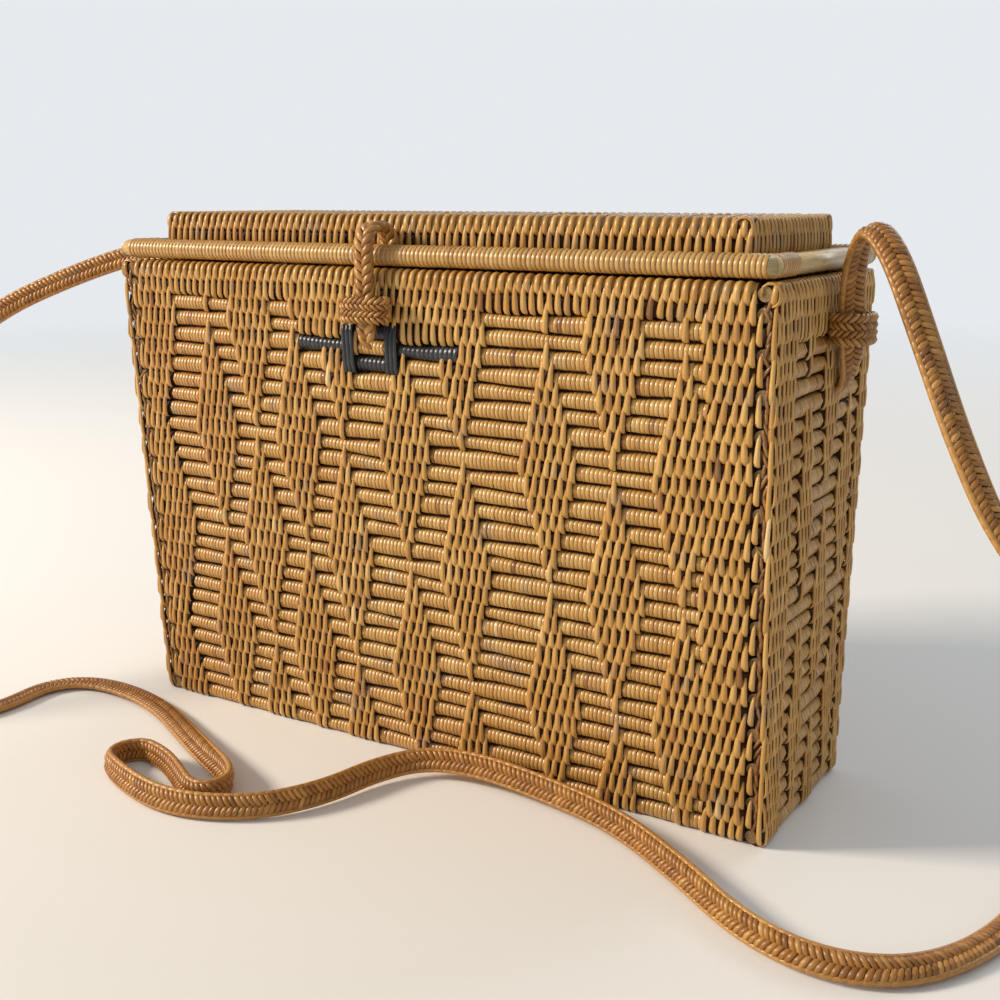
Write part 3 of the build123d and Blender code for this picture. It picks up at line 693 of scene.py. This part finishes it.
def longMap(side):
    def place(u, z, out):
        out = out + swell(u, z, body["frontHalf"])
        height = z + waver(u, z, body["frontHalf"])
        return np.stack([-side * u, side * (halfDepth(z) + out), height], -1)
    return place


def shortMap(side):
    def place(u, z, out):
        out = out + 0.6 * swell(u, z, body["sideHalf"])
        height = z + 0.7 * waver(u, z, body["sideHalf"])
        return np.stack([side * (body["halfWidth"] + out), u * halfDepth(z) / body["sideHalf"], height], -1)
    return place


frontSurface = {"map": longMap(-1), "mirrored": False}
backSurface = {"map": longMap(1), "mirrored": False}
rightSurface = {"map": shortMap(1), "mirrored": False}
leftSurface = {"map": shortMap(-1), "mirrored": True}


def wave(row, peakRow, halfRows):
    turn = ((row - peakRow) / (2 * halfRows)) % 1
    return abs(1 - 2 * turn)


def diamondRuns(row, leftEnd):
    # the diamonds' stitches on this row as runs of half-pitch columns (first, last), which
    # are counted from leftEnd
    height = wave(row + 1, weave["peakRow"], weave["halfRows"])
    few = int(round(weave["mostStitches"] * height))
    runs = []
    for middles, count, odd in ((weave["growing"], weave["mostStitches"] - few, 0),
                                (weave["shrinking"], few, 1)):
        for middle in middles:
            column = int((middle - leftEnd) / columnPitch)
            column += (column + odd) % 2
            if count:
                runs.append((column - count + 1, column + count - 1))
    return runs


def longColumns(row):
    # all the runs of a long wall: two full rows at the top, then borders and diamonds
    lastColumn = weave["columns"] - 1
    if row < 2:
        return [(0, lastColumn)]
    height = wave(row + 1, weave["peakRow"], weave["halfRows"])
    leftBorder = int(round((8 + 10 * height) / columnPitch))
    rightBorder = int(round((10 + 5 * height) / columnPitch))
    return [(0, leftBorder), (lastColumn - rightBorder, lastColumn)] + diamondRuns(row, -body["frontHalf"])


def shortColumns(row):
    half = body["sideHalf"]
    pitch = 2 * half / sideWeave["columns"]
    if row < 3:
        return [(0, sideWeave["columns"] - 1)]
    height = wave(row + 1, sideWeave["peakRow"], sideWeave["halfRows"])
    spans = [(-half, -half + sideWeave["frontBorder"]), (half - sideWeave["backBorder"], half)]
    middle, spread = sideWeave["middle"], sideWeave["spread"]
    for middles, width in (((middle,), sideWeave["width"] * (1 - height)),
                           ((middle - spread, middle + spread), sideWeave["width"] * height)):
        spans += [(place - width / 2, place + width / 2) for place in middles if width > 2.5]
    runs = []
    for low, high in spans:
        first = max(int((low + half) / pitch), 0)
        last = min(int((high + half) / pitch), sideWeave["columns"] - 1)
        runs.append((first, last))
    return runs


def weaveRows(rows, columns, runsOf, halfWide, leftOut):
    # every stitch and wrap of a wall: (row, u), the wraps being those that no run covers
    pitch = 2 * halfWide / columns
    stitches, wraps = [], []
    for row in range(rows):
        covered = np.zeros(columns, bool)
        stitched = []
        for first, last in runsOf(row):
            first, last = max(first, 0), min(last, columns - 1)
            covered[first:last + 1] = True
            stitched += [c for c in range(first, last + 1) if (c + row) % 2 == 0]
        for found, group in ((stitches, stitched), (wraps, np.flatnonzero(~covered))):
            places = [-halfWide + (column + 0.5) * pitch for column in group]
            found += [(row, u) for u in places if not leftOut(row, u)]
    return np.array(stitches).reshape(-1, 2), np.array(wraps).reshape(-1, 2)


def toneOf(rows, us, spread):
    # neighbours are wound from one length of vine, so their colour changes slowly along a rod
    slow = np.sin(us * 0.21 + rows * 2.1) * 0.5 + np.sin(us * 0.47 + rows * 4.7 + 1.0) * 0.3
    odd = (chance.random(len(us)) < 0.04) * chance.normal(0, 0.3, len(us))
    return np.clip(0.55 + 0.11 * slow + spread * chance.standard_normal(len(us)) + odd, 0, 1)


catch = {"left": -25.7, "right": -1.5, "post": 5.2, "bandLeft": -46.3, "bandRight": 22.6,
         "windowLeft": -20.5, "windowRight": -6.7}


def inCatch(row, x):
    # the dyed bands take the fifth row, and the frame the sixth and the foot of the fourth
    inWindow = catch["windowLeft"] < x < catch["windowRight"]
    if row == 4:
        return catch["bandLeft"] < x < catch["bandRight"] and not inWindow
    if row == 5:
        return catch["left"] < x < catch["right"]
    return row == 3 and inWindow


def nowhere(row, x):
    return False


# the middle lines of the wraps and of the rods in them lie this far in from the wall's face
wrapDeep, rodDeep = -3.0, -3.3


def buildWall(name, node, wall):
    # a wall is rows of rods from its top down, with a wrap or a stitch at every column
    surface, rows, top, pitch, rod = (wall[key] for key in ("surface", "rows", "top", "pitch", "rod"))
    stitches, wraps = weaveRows(rows, wall["columns"], wall["runs"], wall["halfWide"],
                                wall.get("leftOut", nowhere))
    tall = pitch / body["rowPitch"]
    heap = newHeap()
    rimmed = (stitches[:, 0] == 0) & (rows == body["rows"])
    # splints over the edge get no painted shade; the others darken with it where they dive under
    for shape, group in ((rimStitch, stitches[rimmed]), (wall.get("stitch", stitch), stitches[~rimmed])):
        row, u = group[:, 0], group[:, 1]
        count = len(u)
        last = row == rows - 1
        addCopies(heap, shape, surface, {
            "u": u + chance.normal(0, 0.12, count),
            "z": top - row * pitch + chance.normal(0, 0.12, count) * (row > 0),
            "out": chance.normal(0, 0.06, count), "wide": chance.uniform(0.9, 1.06, count),
            "tall": tall * np.where(last, 0.9, chance.uniform(0.96, 1.04, count)),
            "lean": 0.05 + 0.05 * np.sin(u * 0.07 + row) + chance.normal(0, 0.03, count),
            "tone": toneOf(row, u, 0.09)}, darkFrom=neverDark if shape is rimStitch else divesAt)
    # the wraps darken with painted shade where they turn into the grooves between rows
    row, u = wraps[:, 0], wraps[:, 1]
    count = len(u)
    addCopies(heap, wrap, surface, {
        "u": u, "z": top - (row + 0.5) * pitch, "out": wrapDeep + chance.normal(0, 0.05, count),
        "wide": chance.uniform(0.94, 1.0, count), "tall": tall * chance.uniform(0.985, 1.015, count),
        "lean": 0.06 + chance.normal(0, 0.015, count), "tone": toneOf(row, u, 0.07)}, darkFrom=-2.0)
    addCopies(heap, rod, surface, {"u": np.zeros(rows), "z": top - (np.arange(rows) + 0.5) * pitch,
                                   "out": rodDeep, "tall": tall, "tone": 0.5}, slot=1)
    # the outermost rods keep the light colour, not the painted shade, where they show between the splints
    # that go over the edge
    light = np.tile(~rod["outer"], (rows, 1))
    light[0] = ~rod["end"]
    if rows != body["rows"]:
        light[-1] = ~rod["end"]
    heap["slot"][-1] = np.where(light.reshape(-1), 2, 1)
    bodyName = wall.get("body", "basket")
    return makePiece(name, heap, [smokedVine, shadedRodCore, insideVine], bodyName, [node])


rodThick = {"out": 2.5, "up": 3.1, "cutSide": 91.6}
frontRod = rodShape(2 * body["frontHalf"] - 0.2, 16, rodThick["out"], rodThick["up"])
sideRod = rodShape(rodThick["cutSide"], 6, rodThick["out"], rodThick["up"])
# above the catch the third and fourth rows are stitched from one end of the dyed bands to the other
overCatch = (int((catch["bandLeft"] + body["frontHalf"]) / columnPitch),
             int((catch["bandRight"] + body["frontHalf"]) / columnPitch))


def frontColumns(row):
    return longColumns(row) + ([overCatch] if row in (2, 3) else [])


anyWall = {"rows": body["rows"], "top": body["wallHeight"], "pitch": body["rowPitch"]}
longWall = {**anyWall, "columns": weave["columns"], "runs": longColumns, "halfWide": body["frontHalf"],
            "rod": frontRod}
shortWall = {**anyWall, "columns": sideWeave["columns"], "runs": shortColumns, "halfWide": body["sideHalf"],
             "rod": sideRod, "stitch": sideStitch}
frontWall = {**longWall, "surface": frontSurface, "runs": frontColumns, "leftOut": inCatch}
buildWall("front_weave", "front_wall", frontWall)
buildWall("back_weave", "back_wall", {**longWall, "surface": backSurface})
buildWall("right_weave", "right_wall", {**shortWall, "surface": rightSurface})
buildWall("left_weave", "left_wall", {**shortWall, "surface": leftSurface})
print("walls done")

# base: eleven of the same rods, lying flat and wrapped all over
baseRows = 11
basePitch = 2 * (body["halfDepthLow"] - body["thickness"]) / baseRows
baseSurface = {"map": lambda u, z, out: np.stack([u, z, -out], -1), "mirrored": True}
buildWall("base_weave", "base_panel", {
    **longWall, "surface": baseSurface, "rows": baseRows, "runs": lambda row: [],
    "top": baseRows * basePitch / 2, "pitch": basePitch})

# corners: the short walls' rods end in the long faces, each cut end half covered by a stitch
# round the edge, and cane is laced down the seam beside them, painted dark as shade
corner = {"lastX": 129.6, "seam": 131.7, "rodX": 130.4, "edgeX": 133.8, "lacePitch": 3.3}
lace = shapeStrand([(0, -0.8, 3.4, 0.45, 0.35), (0, 0.1, 2.2, 0.75, 0.5), (0, 0.45, 0.4, 0.85, 0.55),
                    (0, 0.2, -1.8, 0.8, 0.5), (0, -0.7, -3.2, 0.5, 0.35)])
deselectAll()
bpy.ops.mesh.primitive_circle_add(vertices=14, radius=2.3, fill_type="NGON", rotation=(math.pi / 2, 0, 0))
bpy.ops.object.transform_apply(location=True, rotation=True, scale=True)
endPlaces = vertexPlaces(bpy.context.object)
rodEnd = readShape(bpy.context.object, endPlaces[:, 0], endPlaces[:, 2])


def cornerMap(sideX, sideY):
    def place(u, z, out):
        return np.stack([sideX * u, sideY * (halfDepth(z) + out), z], -1)
    return place


for nameY, sideY in (("front", -1), ("back", 1)):
    for nameX, sideX in (("left", -1), ("right", 1)):
        surface = {"map": cornerMap(sideX, sideY), "mirrored": sideX * sideY > 0}
        heap = newHeap()
        row = np.arange(body["rows"])
        ends = np.concatenate([row[:1], row[1::2]])
        addCopies(heap, rodEnd, surface, {
            "u": np.full(len(ends), corner["rodX"]), "out": -0.8, "tone": chance.uniform(0.0, 0.7, len(ends)),
            "z": body["wallHeight"] - (ends + 0.5) * body["rowPitch"]}, slot=1)
        # beside the seam a splint on every second row; on the edge one over every two rows
        for shape, rows, x, wide, tall in ((stitch, row[2::2], corner["lastX"], 0.85, 1.0),
                                           (rimStitch, row[:1], corner["edgeX"], 0.85, 1.0),
                                           (stitch, row[2::2], corner["edgeX"], 0.75, 1.85)):
            count = len(rows)
            addCopies(heap, shape, surface, {
                "u": x + chance.normal(0, 0.15, count), "z": body["wallHeight"] - rows * body["rowPitch"],
                "wide": wide, "tall": tall, "lean": chance.normal(0.03, 0.03, count),
                "tone": np.clip(0.65 + 0.15 * chance.standard_normal(count), 0, 1)},
                darkFrom=neverDark if shape is rimStitch else divesAt)
        # the lace lies deep in the seam and is painted dark with shade nearly all over
        turns = np.arange(int((body["wallHeight"] - 6) / corner["lacePitch"]))
        addCopies(heap, lace, surface, {
            "u": corner["seam"] + chance.normal(0, 0.3, len(turns)), "z": 4.2 + turns * corner["lacePitch"],
            "out": -1.0, "lean": chance.normal(0.05, 0.3, len(turns)), "wide": 0.8,
            "tone": chance.uniform(0, 0.35, len(turns))}, darkFrom=0.2)
        makePiece("corner_stitch_" + nameY + "_" + nameX, heap, [smokedVine, cutRod], "basket",
                  ["corner_lacing_" + nameY + "_" + nameX])

# lid: rim rods, ledge, low walls and top
lidFacts = {"rimWrap": 1.75, "ledgeRod": 1.8, "ledgeHalf": 126.0, "rows": 2, "topRows": 12, "notch": 6.6,
            "hinge": 78.0}
lidRod = {"out": 2.35, "up": 3.05}
rimWrap = shapeWrap(lidFacts["rimWrap"] * snug, lid["rimRadius"], lid["rimRadius"], sides=12, crown=0.6,
                    whole=True, dip=0.93)
ledgeWrap = shapeWrap(lidFacts["rimWrap"] * snug, lidFacts["ledgeRod"], lidFacts["ledgeRod"], sides=8,
                      crown=0.5, whole=True, dip=0.88)


def mitredRod(length, radius):
    # a round rod whose two ends are cut back at 45 degrees towards the inside of the frame
    obj = addRod(16, radius, length)
    setMode("EDIT")
    for side in (-1, 1):
        cutMesh((side * (length / 2 - radius), 0, 0), (side, 1, 0), clear_outer=True, use_fill=True)
    setMode("OBJECT")
    return readRound(obj, radius)


def rimMap(offset, angle):
    # the rod's own frame turned to one side of the lid's rim
    c, s = round(math.cos(angle)), round(math.sin(angle))

    def place(u, z, out):
        x, y = u, -(offset + out)
        return np.stack([c * x - s * y, s * x + c * y, lid["rimZ"] + z], -1)
    return place


rimLong, rimShort = 2 * body["halfWidth"], 94.2
rims = [("front", lid["rimY"], 0.0, rimLong), ("right", lid["rimX"], math.pi / 2, rimShort),
        ("back", lid["rimY"], math.pi, rimLong), ("left", lid["rimX"], -math.pi / 2, rimShort)]
# the side rods are left bare along their middle, with three dark turns of binding there
bareStretch = {"right": (-28, 38), "left": (-36, 30)}
for name, offset, angle, length in rims:
    heap = newHeap()
    surface = {"map": rimMap(offset, angle), "mirrored": False}
    addCopies(heap, mitredRod(length, lid["rimRadius"] - 0.25), surface, {"u": np.zeros(1), "tone": 0.55},
              slot=1)
    reach = length / 2 - lid["rimRadius"] * 1.15
    u = np.arange(-reach, reach, lidFacts["rimWrap"])
    if name in bareStretch:
        low, high = bareStretch[name]
        u = u[(u < low) | (u > high)]
    addCopies(heap, rimWrap, surface, {
        "u": u, "wide": chance.uniform(0.94, 1.0, len(u)), "thick": chance.uniform(0.985, 1.01, len(u)),
        "tall": chance.uniform(0.985, 1.01, len(u)), "lean": 0.06 + chance.normal(0, 0.02, len(u)),
        "tone": toneOf(u * 0, u, 0.07)})
    if name in bareStretch:
        bound = np.array([24.0, 25.7, 27.4]) * (1 if name == "right" else -1)
        addCopies(heap, rimWrap, surface, {
            "u": bound, "wide": 0.97, "tone": np.array([0.05, 0.0, 0.1]), "thick": 1.01, "tall": 1.01})
    makePiece("rim_rod_" + name, heap, [smokedVine, peeledRod], "lid", ["lid_rim_" + name])


plateauMiddle = (lid["plateauLeft"] + lid["plateauRight"]) / 2


def plateauMap(name):
    def place(u, z, out):
        if name == "front":
            return np.stack([plateauMiddle + u, -(lid["plateauY"] + out), z], -1)
        if name == "back":
            return np.stack([plateauMiddle - u, lid["plateauY"] + out, z], -1)
        if name == "right":
            return np.stack([lid["plateauRight"] + out, u, z], -1)
        return np.stack([lid["plateauLeft"] - out, -u, z], -1)
    return place


plateauHalf = (lid["plateauRight"] - lid["plateauLeft"]) / 2
plateauPitch = (lid["top"] - lid["ledgeTop"]) / lidFacts["rows"]
ledgeCore = lidFacts["ledgeRod"] - 0.15


def lidSideOf(halfWide, ledgeHalf, coreHalf):
    # what the two long or the two short sides share
    return {"halfWide": halfWide, "columns": int(round(2 * halfWide / columnPitch / 2)) * 2,
            "rod": rodShape(2 * halfWide - 0.6, 1, lidRod["out"], lidRod["up"]), "ledgeHalf": ledgeHalf,
            "ledgeRod": rodShape(2 * coreHalf, 1, ledgeCore, ledgeCore, 8)}


def lidSide(name, side, ledgeRods):
    surface = {"map": plateauMap(name), "mirrored": False}
    columns, rod, ledgeHalf = side["columns"], side["rod"], side["ledgeHalf"]
    stitches, _ = weaveRows(lidFacts["rows"], columns, lambda row: [(0, columns - 1)], side["halfWide"],
                            nowhere)
    heap = newHeap()
    for shape, wanted in ((rimStitch, 0), (stitch, 1)):
        group = stitches[stitches[:, 0] == wanted]
        row, u = group[:, 0], group[:, 1]
        addCopies(heap, shape, surface, {
            "u": u + chance.normal(0, 0.1, len(u)), "z": lid["top"] - row * plateauPitch,
            "out": chance.normal(0, 0.05, len(u)), "wide": chance.uniform(0.88, 1.04, len(u)),
            "tall": 0.97, "lean": chance.normal(0.03, 0.04, len(u)), "tone": toneOf(row + 40, u, 0.08)},
            darkFrom=neverDark if shape is rimStitch else divesAt)
    levels = np.arange(lidFacts["rows"])
    addCopies(heap, rod, surface, {"u": 0.0 * levels, "z": lid["top"] - (levels + 0.5) * plateauPitch,
                                   "out": wrapDeep, "tone": 0.5}, slot=1)
    # the top rod keeps the light colour but at its ends, the lower one's outer faces take the painted shade
    heap["slot"][-1] = np.where(np.concatenate([~rod["end"], ~rod["outer"]]), 2, 1)
    for out in ledgeRods:
        u = np.arange(-ledgeHalf, ledgeHalf, lidFacts["rimWrap"])
        if name == "back":
            # no wraps where the hinge loops pass
            u = u[np.abs(np.abs(plateauMiddle - u) - lidFacts["hinge"]) > lidFacts["notch"]]
        height = lid["ledgeTop"] - lidFacts["ledgeRod"] + 0.05
        addCopies(heap, ledgeWrap, surface, {
            "u": u, "z": height, "out": out, "lean": 0.1, "wide": chance.uniform(0.94, 1.0, len(u)),
            "thick": 1.12, "tone": toneOf(u * 0 + 50 + out, u, 0.07)})
        if name != "back":
            addCopies(heap, side["ledgeRod"], surface, {
                "u": np.zeros(1), "z": height, "out": out, "thick": 1.1, "tone": 0.3}, slot=1)
    makePiece("lid_side_" + name, heap, [smokedVine, shadedRodCore, insideVine], "lid", ["lid_" + name + "_wall"])


longSide = lidSideOf(plateauHalf, lidFacts["ledgeHalf"], 127.0)
shortSide = lidSideOf(lid["plateauY"], lid["plateauY"], lid["plateauY"])
# the ledge's rods lie beside the low walls, this far out; the left end has the widest ledge
lidSide("front", longSide, (1.3,))
lidSide("back", longSide, (1.3,))
lidSide("right", shortSide, (1.3, 4.7))
lidSide("left", shortSide, (1.3, 4.7, 7.6))

topHalf = plateauHalf - lid["wall"]
topCount = int(round(2 * topHalf / columnPitch))
topPitch = 2 * (lid["plateauY"] - lid["wall"]) / lidFacts["topRows"]


def topMap(u, z, out):
    return np.stack([plateauMiddle + u, -z, lid["top"] - 0.15 + out], -1)


buildWall("lid_top_weave", "lid_top", {
    "surface": {"map": topMap, "mirrored": True}, "body": "lid", "rows": lidFacts["topRows"],
    "columns": topCount, "runs": lambda row: diamondRuns(row, plateauMiddle - topHalf), "halfWide": topHalf,
    "top": topPitch * lidFacts["topRows"] / 2, "pitch": topPitch,
    "rod": rodShape(2 * topHalf + 2, 1, 2.3, lidRod["up"])})

# hinge loops: five turns of cane round the lid's back rod and the wall's top rod
hinge = {"turns": 5, "cane": 0.85, "radius": 4.75, "low": 179.88, "pitch": 1.75}


def hingeMap(u, z, out):
    return np.stack([u, lid["rimY"] - out, hinge["low"] + z], -1)


for name, x in (("left", -lidFacts["hinge"]), ("right", lidFacts["hinge"])):
    deselectAll()
    bpy.ops.mesh.primitive_torus_add(major_segments=28, minor_segments=8, major_radius=hinge["radius"],
                                     minor_radius=hinge["cane"], rotation=(0, math.pi / 2, 0))
    obj = bpy.context.object
    bpy.ops.object.transform_apply(location=True, rotation=True, scale=True)
    setMode("EDIT")
    pickVertices(obj, lambda co: co.z > barelyThick)
    bpy.ops.transform.translate(value=(0, 0, lid["rimZ"] - hinge["low"]))
    setMode("OBJECT")
    co = vertexPlaces(obj)
    loop = readShape(obj, co[:, 0] * 2, np.arctan2(co[:, 2], co[:, 1]) * hinge["radius"])
    heap = newHeap()
    turns = (np.arange(hinge["turns"]) - (hinge["turns"] - 1) / 2) * hinge["pitch"]
    addCopies(heap, loop, {"map": hingeMap}, {"u": x + turns, "tone": chance.uniform(0.4, 0.8, len(turns))})
    makePiece("hinge_cane_" + name, heap, [smokedVine], "basket", ["hinge_loop_" + name])

# catch: black-dyed splint on the fifth row, two posts and a lower bar
catchPitch = 1.9
blackWrap = shapeWrap(catchPitch * snug, 2.85, 3.05, sides=10, crown=0.6, dip=0.93)
post = shapeStrand([(0, -1.8, 0.9, 0.8, 0.4), (0, 0.1, 0.1, 0.98, 0.5), (0, 0.7, -2.0, 1.0, 0.55),
                    (0, 0.75, -8.0, 1.0, 0.55), (0, 0.7, -14.6, 1.0, 0.55), (0, 0.1, -16.9, 0.98, 0.5),
                    (0, -1.8, -17.6, 0.8, 0.4)])
heap = newHeap()
for row, low, high in ((4, catch["bandLeft"], catch["left"]), (4, catch["right"], catch["bandRight"]),
                       (5, catch["left"] + 1, catch["right"] - 1),
                       (3, catch["windowLeft"], catch["windowRight"])):
    u = np.arange(low + catchPitch / 2, high, catchPitch)
    addCopies(heap, blackWrap, frontSurface, {
        "u": u, "z": body["wallHeight"] - (row + 0.5) * body["rowPitch"],
        "out": -2.85 + (0.35 if row == 4 else 0),
        "tall": 1.0, "lean": 0.08, "wide": chance.uniform(0.93, 1.0, len(u)),
        "tone": np.clip(0.5 + 0.25 * chance.standard_normal(len(u)), 0, 1)})
posts = [low + (i + 0.5) * catch["post"] / 3
         for low in (catch["left"], catch["windowRight"]) for i in range(3)]
addCopies(heap, post, frontSurface, {"u": np.array(posts), "z": 162.7, "lean": 0.0, "wide": 0.95,
                                     "tone": chance.uniform(0.2, 0.8, len(posts))})
makePiece("catch_splint", heap, [dyedSplint], "basket",
          ["catch_frame", "catch_band_left", "catch_band_right"])

# closure: one braid over the rim rod, its hanging end, and the plaited ring
closure = {"x": -11.4, "pitch": 3.3, "start": 1.8, "spare": 9, "rearShift": 1.6}
# its line from the lid's ledge over the rim rod and down the front: how much of the shift at
# the rear is left there, then y and z
closureSteps = [
    (1.0, -38.1, 184.8), (1.0, -38.1, 188.5), (0.9, -38.3, 192.5), (0.6, -41.0, 196.3), (0.3, -45.3, 197.2),
    (0.0, -49.9, 195.0), (0.0, -51.4, 190.5), (0.0, -51.3, 184.0), (0.0, -51.1, 176.0), (0.0, -51.1, 168.0),
    (0.0, -51.0, 162.0), (0.0, -49.2, 157.0), (0.0, -47.5, 153.2)]
closureRoute = [(closure["x"] + closure["rearShift"] * shift, y, z, 0) for shift, y, z in closureSteps]
closureLine = splinePoints(closureRoute)
closureRun = runAlong(closureLine)
closureTangent = unitRows(np.gradient(closureLine, axis=0))


def closureMap(u, z, out):
    world = np.zeros(u.shape + (3,))
    normal = unitRows(np.cross(np.array([[1.0, 0, 0]]), closureTangent))
    for axis in range(3):
        world[..., axis] = np.interp(z, closureRun, closureLine[:, axis]) \
            + out * np.interp(z, closureRun, normal[:, axis])
    world[..., 0] += u
    return world


heap = newHeap()
count = int((closureRun[-1] - closure["spare"]) / closure["pitch"])
for edge, surface in edgeSurfaces(closureMap):
    addCopies(heap, plait, surface, {
        "u": np.zeros(count),
        "z": closure["start"] + (np.arange(count) + (0.5 if edge < 0 else 0)) * closure["pitch"],
        "wide": 1.0, "tall": closure["pitch"] / strap["plaitPitch"] * 0.96, "thick": 0.9,
        "tone": chance.uniform(0.45, 0.95, count)})
closurePiece = makePiece("closure_braid", heap, [braidedVine], None, ["closure_loop", "closure_tab"])
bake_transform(closurePiece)


def bandMap(middleX, middleY, halfX, halfY, low):
    # a flattened round: u runs once round it, z up, outward away from its middle
    angles = np.linspace(0, 2 * math.pi, 241)
    c, s = np.cos(angles), np.sin(angles)
    outline = np.stack([halfX * np.sign(c) * np.abs(c) ** 0.75, halfY * np.sign(s) * np.abs(s) ** 0.75], -1)
    run = runAlong(outline)
    tangent = np.gradient(outline, axis=0)
    tangent[0] = tangent[-1] = (0, 1)
    tangent = unitRows(tangent)

    def place(u, z, out):
        u = np.mod(u, run[-1])
        x = np.interp(u, run, outline[:, 0]) + out * np.interp(u, run, tangent[:, 1])
        y = np.interp(u, run, outline[:, 1]) - out * np.interp(u, run, tangent[:, 0])
        return np.stack([middleX + x, middleY + y, low + z], -1)
    return place, run[-1]


# a plaited band is rows of short slanting beads over a smooth core
beads = {"rows": 4, "length": 3.3, "pitch": 2.1, "lean": 0.62, "proud": 1.0}
bead = shapeStrand([(0, -0.5, 2.1, 0.45, 0.4), (0, 0.25, 1.2, 0.85, 0.6), (0, 0.5, 0, 1.0, 0.7),
                    (0, 0.25, -1.2, 0.85, 0.6), (0, -0.5, -2.1, 0.45, 0.4)])


def plaitedBand(name, node, band):
    middleX, middleY, low, high, wall = (band[key] for key in ("x", "y", "low", "high", "wall"))
    surface = {"mirrored": False}
    surface["map"], around = bandMap(middleX, middleY, band["halfX"] - beads["proud"],
                                     band["halfY"] - beads["proud"], low)
    heap = newHeap()
    deselectAll()
    major = 10.0
    bpy.ops.mesh.primitive_torus_add(major_segments=40, minor_segments=10, major_radius=major,
                                     minor_radius=wall)
    obj = bpy.context.object
    setMode("EDIT")
    selectAll()
    scaleX, scaleY = (band["halfX"] - 0.9) / (major + wall), (band["halfY"] - 0.9) / (major + wall)
    bpy.ops.transform.resize(value=(scaleX, scaleY, (high - low - 0.6) / 2 / wall), center_override=(0, 0, 0))
    setMode("OBJECT")
    co = vertexPlaces(obj)
    core = readShape(obj, co[:, 2], np.arctan2(co[:, 1], co[:, 0]) * 8)
    straight = {"map": lambda u, z, out: np.stack([middleX + u, middleY - out, (low + high) / 2 + z], -1)}
    addCopies(heap, core, straight, {"u": np.zeros(1), "tone": 0.25})
    height = (high - low) / beads["rows"]
    number = int(round(around / beads["pitch"]))
    for row in range(beads["rows"]):
        u = (np.arange(number) + 0.5 * (row % 2)) * around / number
        addCopies(heap, bead, surface, {
            "u": u, "z": (row + 0.5) * height, "tall": height / beads["length"],
            "lean": beads["lean"] * (1 if row % 2 else -1), "tone": chance.uniform(0.35, 0.95, number)})
    return makePiece(name, heap, [braidedVine], band["body"], [node])


# the ring on the tab, and the keepers that hold the strap's ends on the short walls
ring = {"body": "ring", "x": -10.6, "y": -52.3, "halfX": 9.9, "halfY": 4.6, "low": 164.3, "high": 173.0,
        "wall": 2.0}
plaitedBand("plaited_ring", "closure_ring", ring)
keeper = {"body": "basket", "halfX": 7.0, "halfY": 9.5, "low": 161.0, "high": 170.5, "wall": 2.4}
plaitedBand("keeper_band_left", "strap_keeper_left", {**keeper, "x": -141.6, "y": 4.4})
plaitedBand("keeper_band_right", "strap_keeper_right", {**keeper, "x": 141.6, "y": 2.95})
print("closure, keepers and catch done")
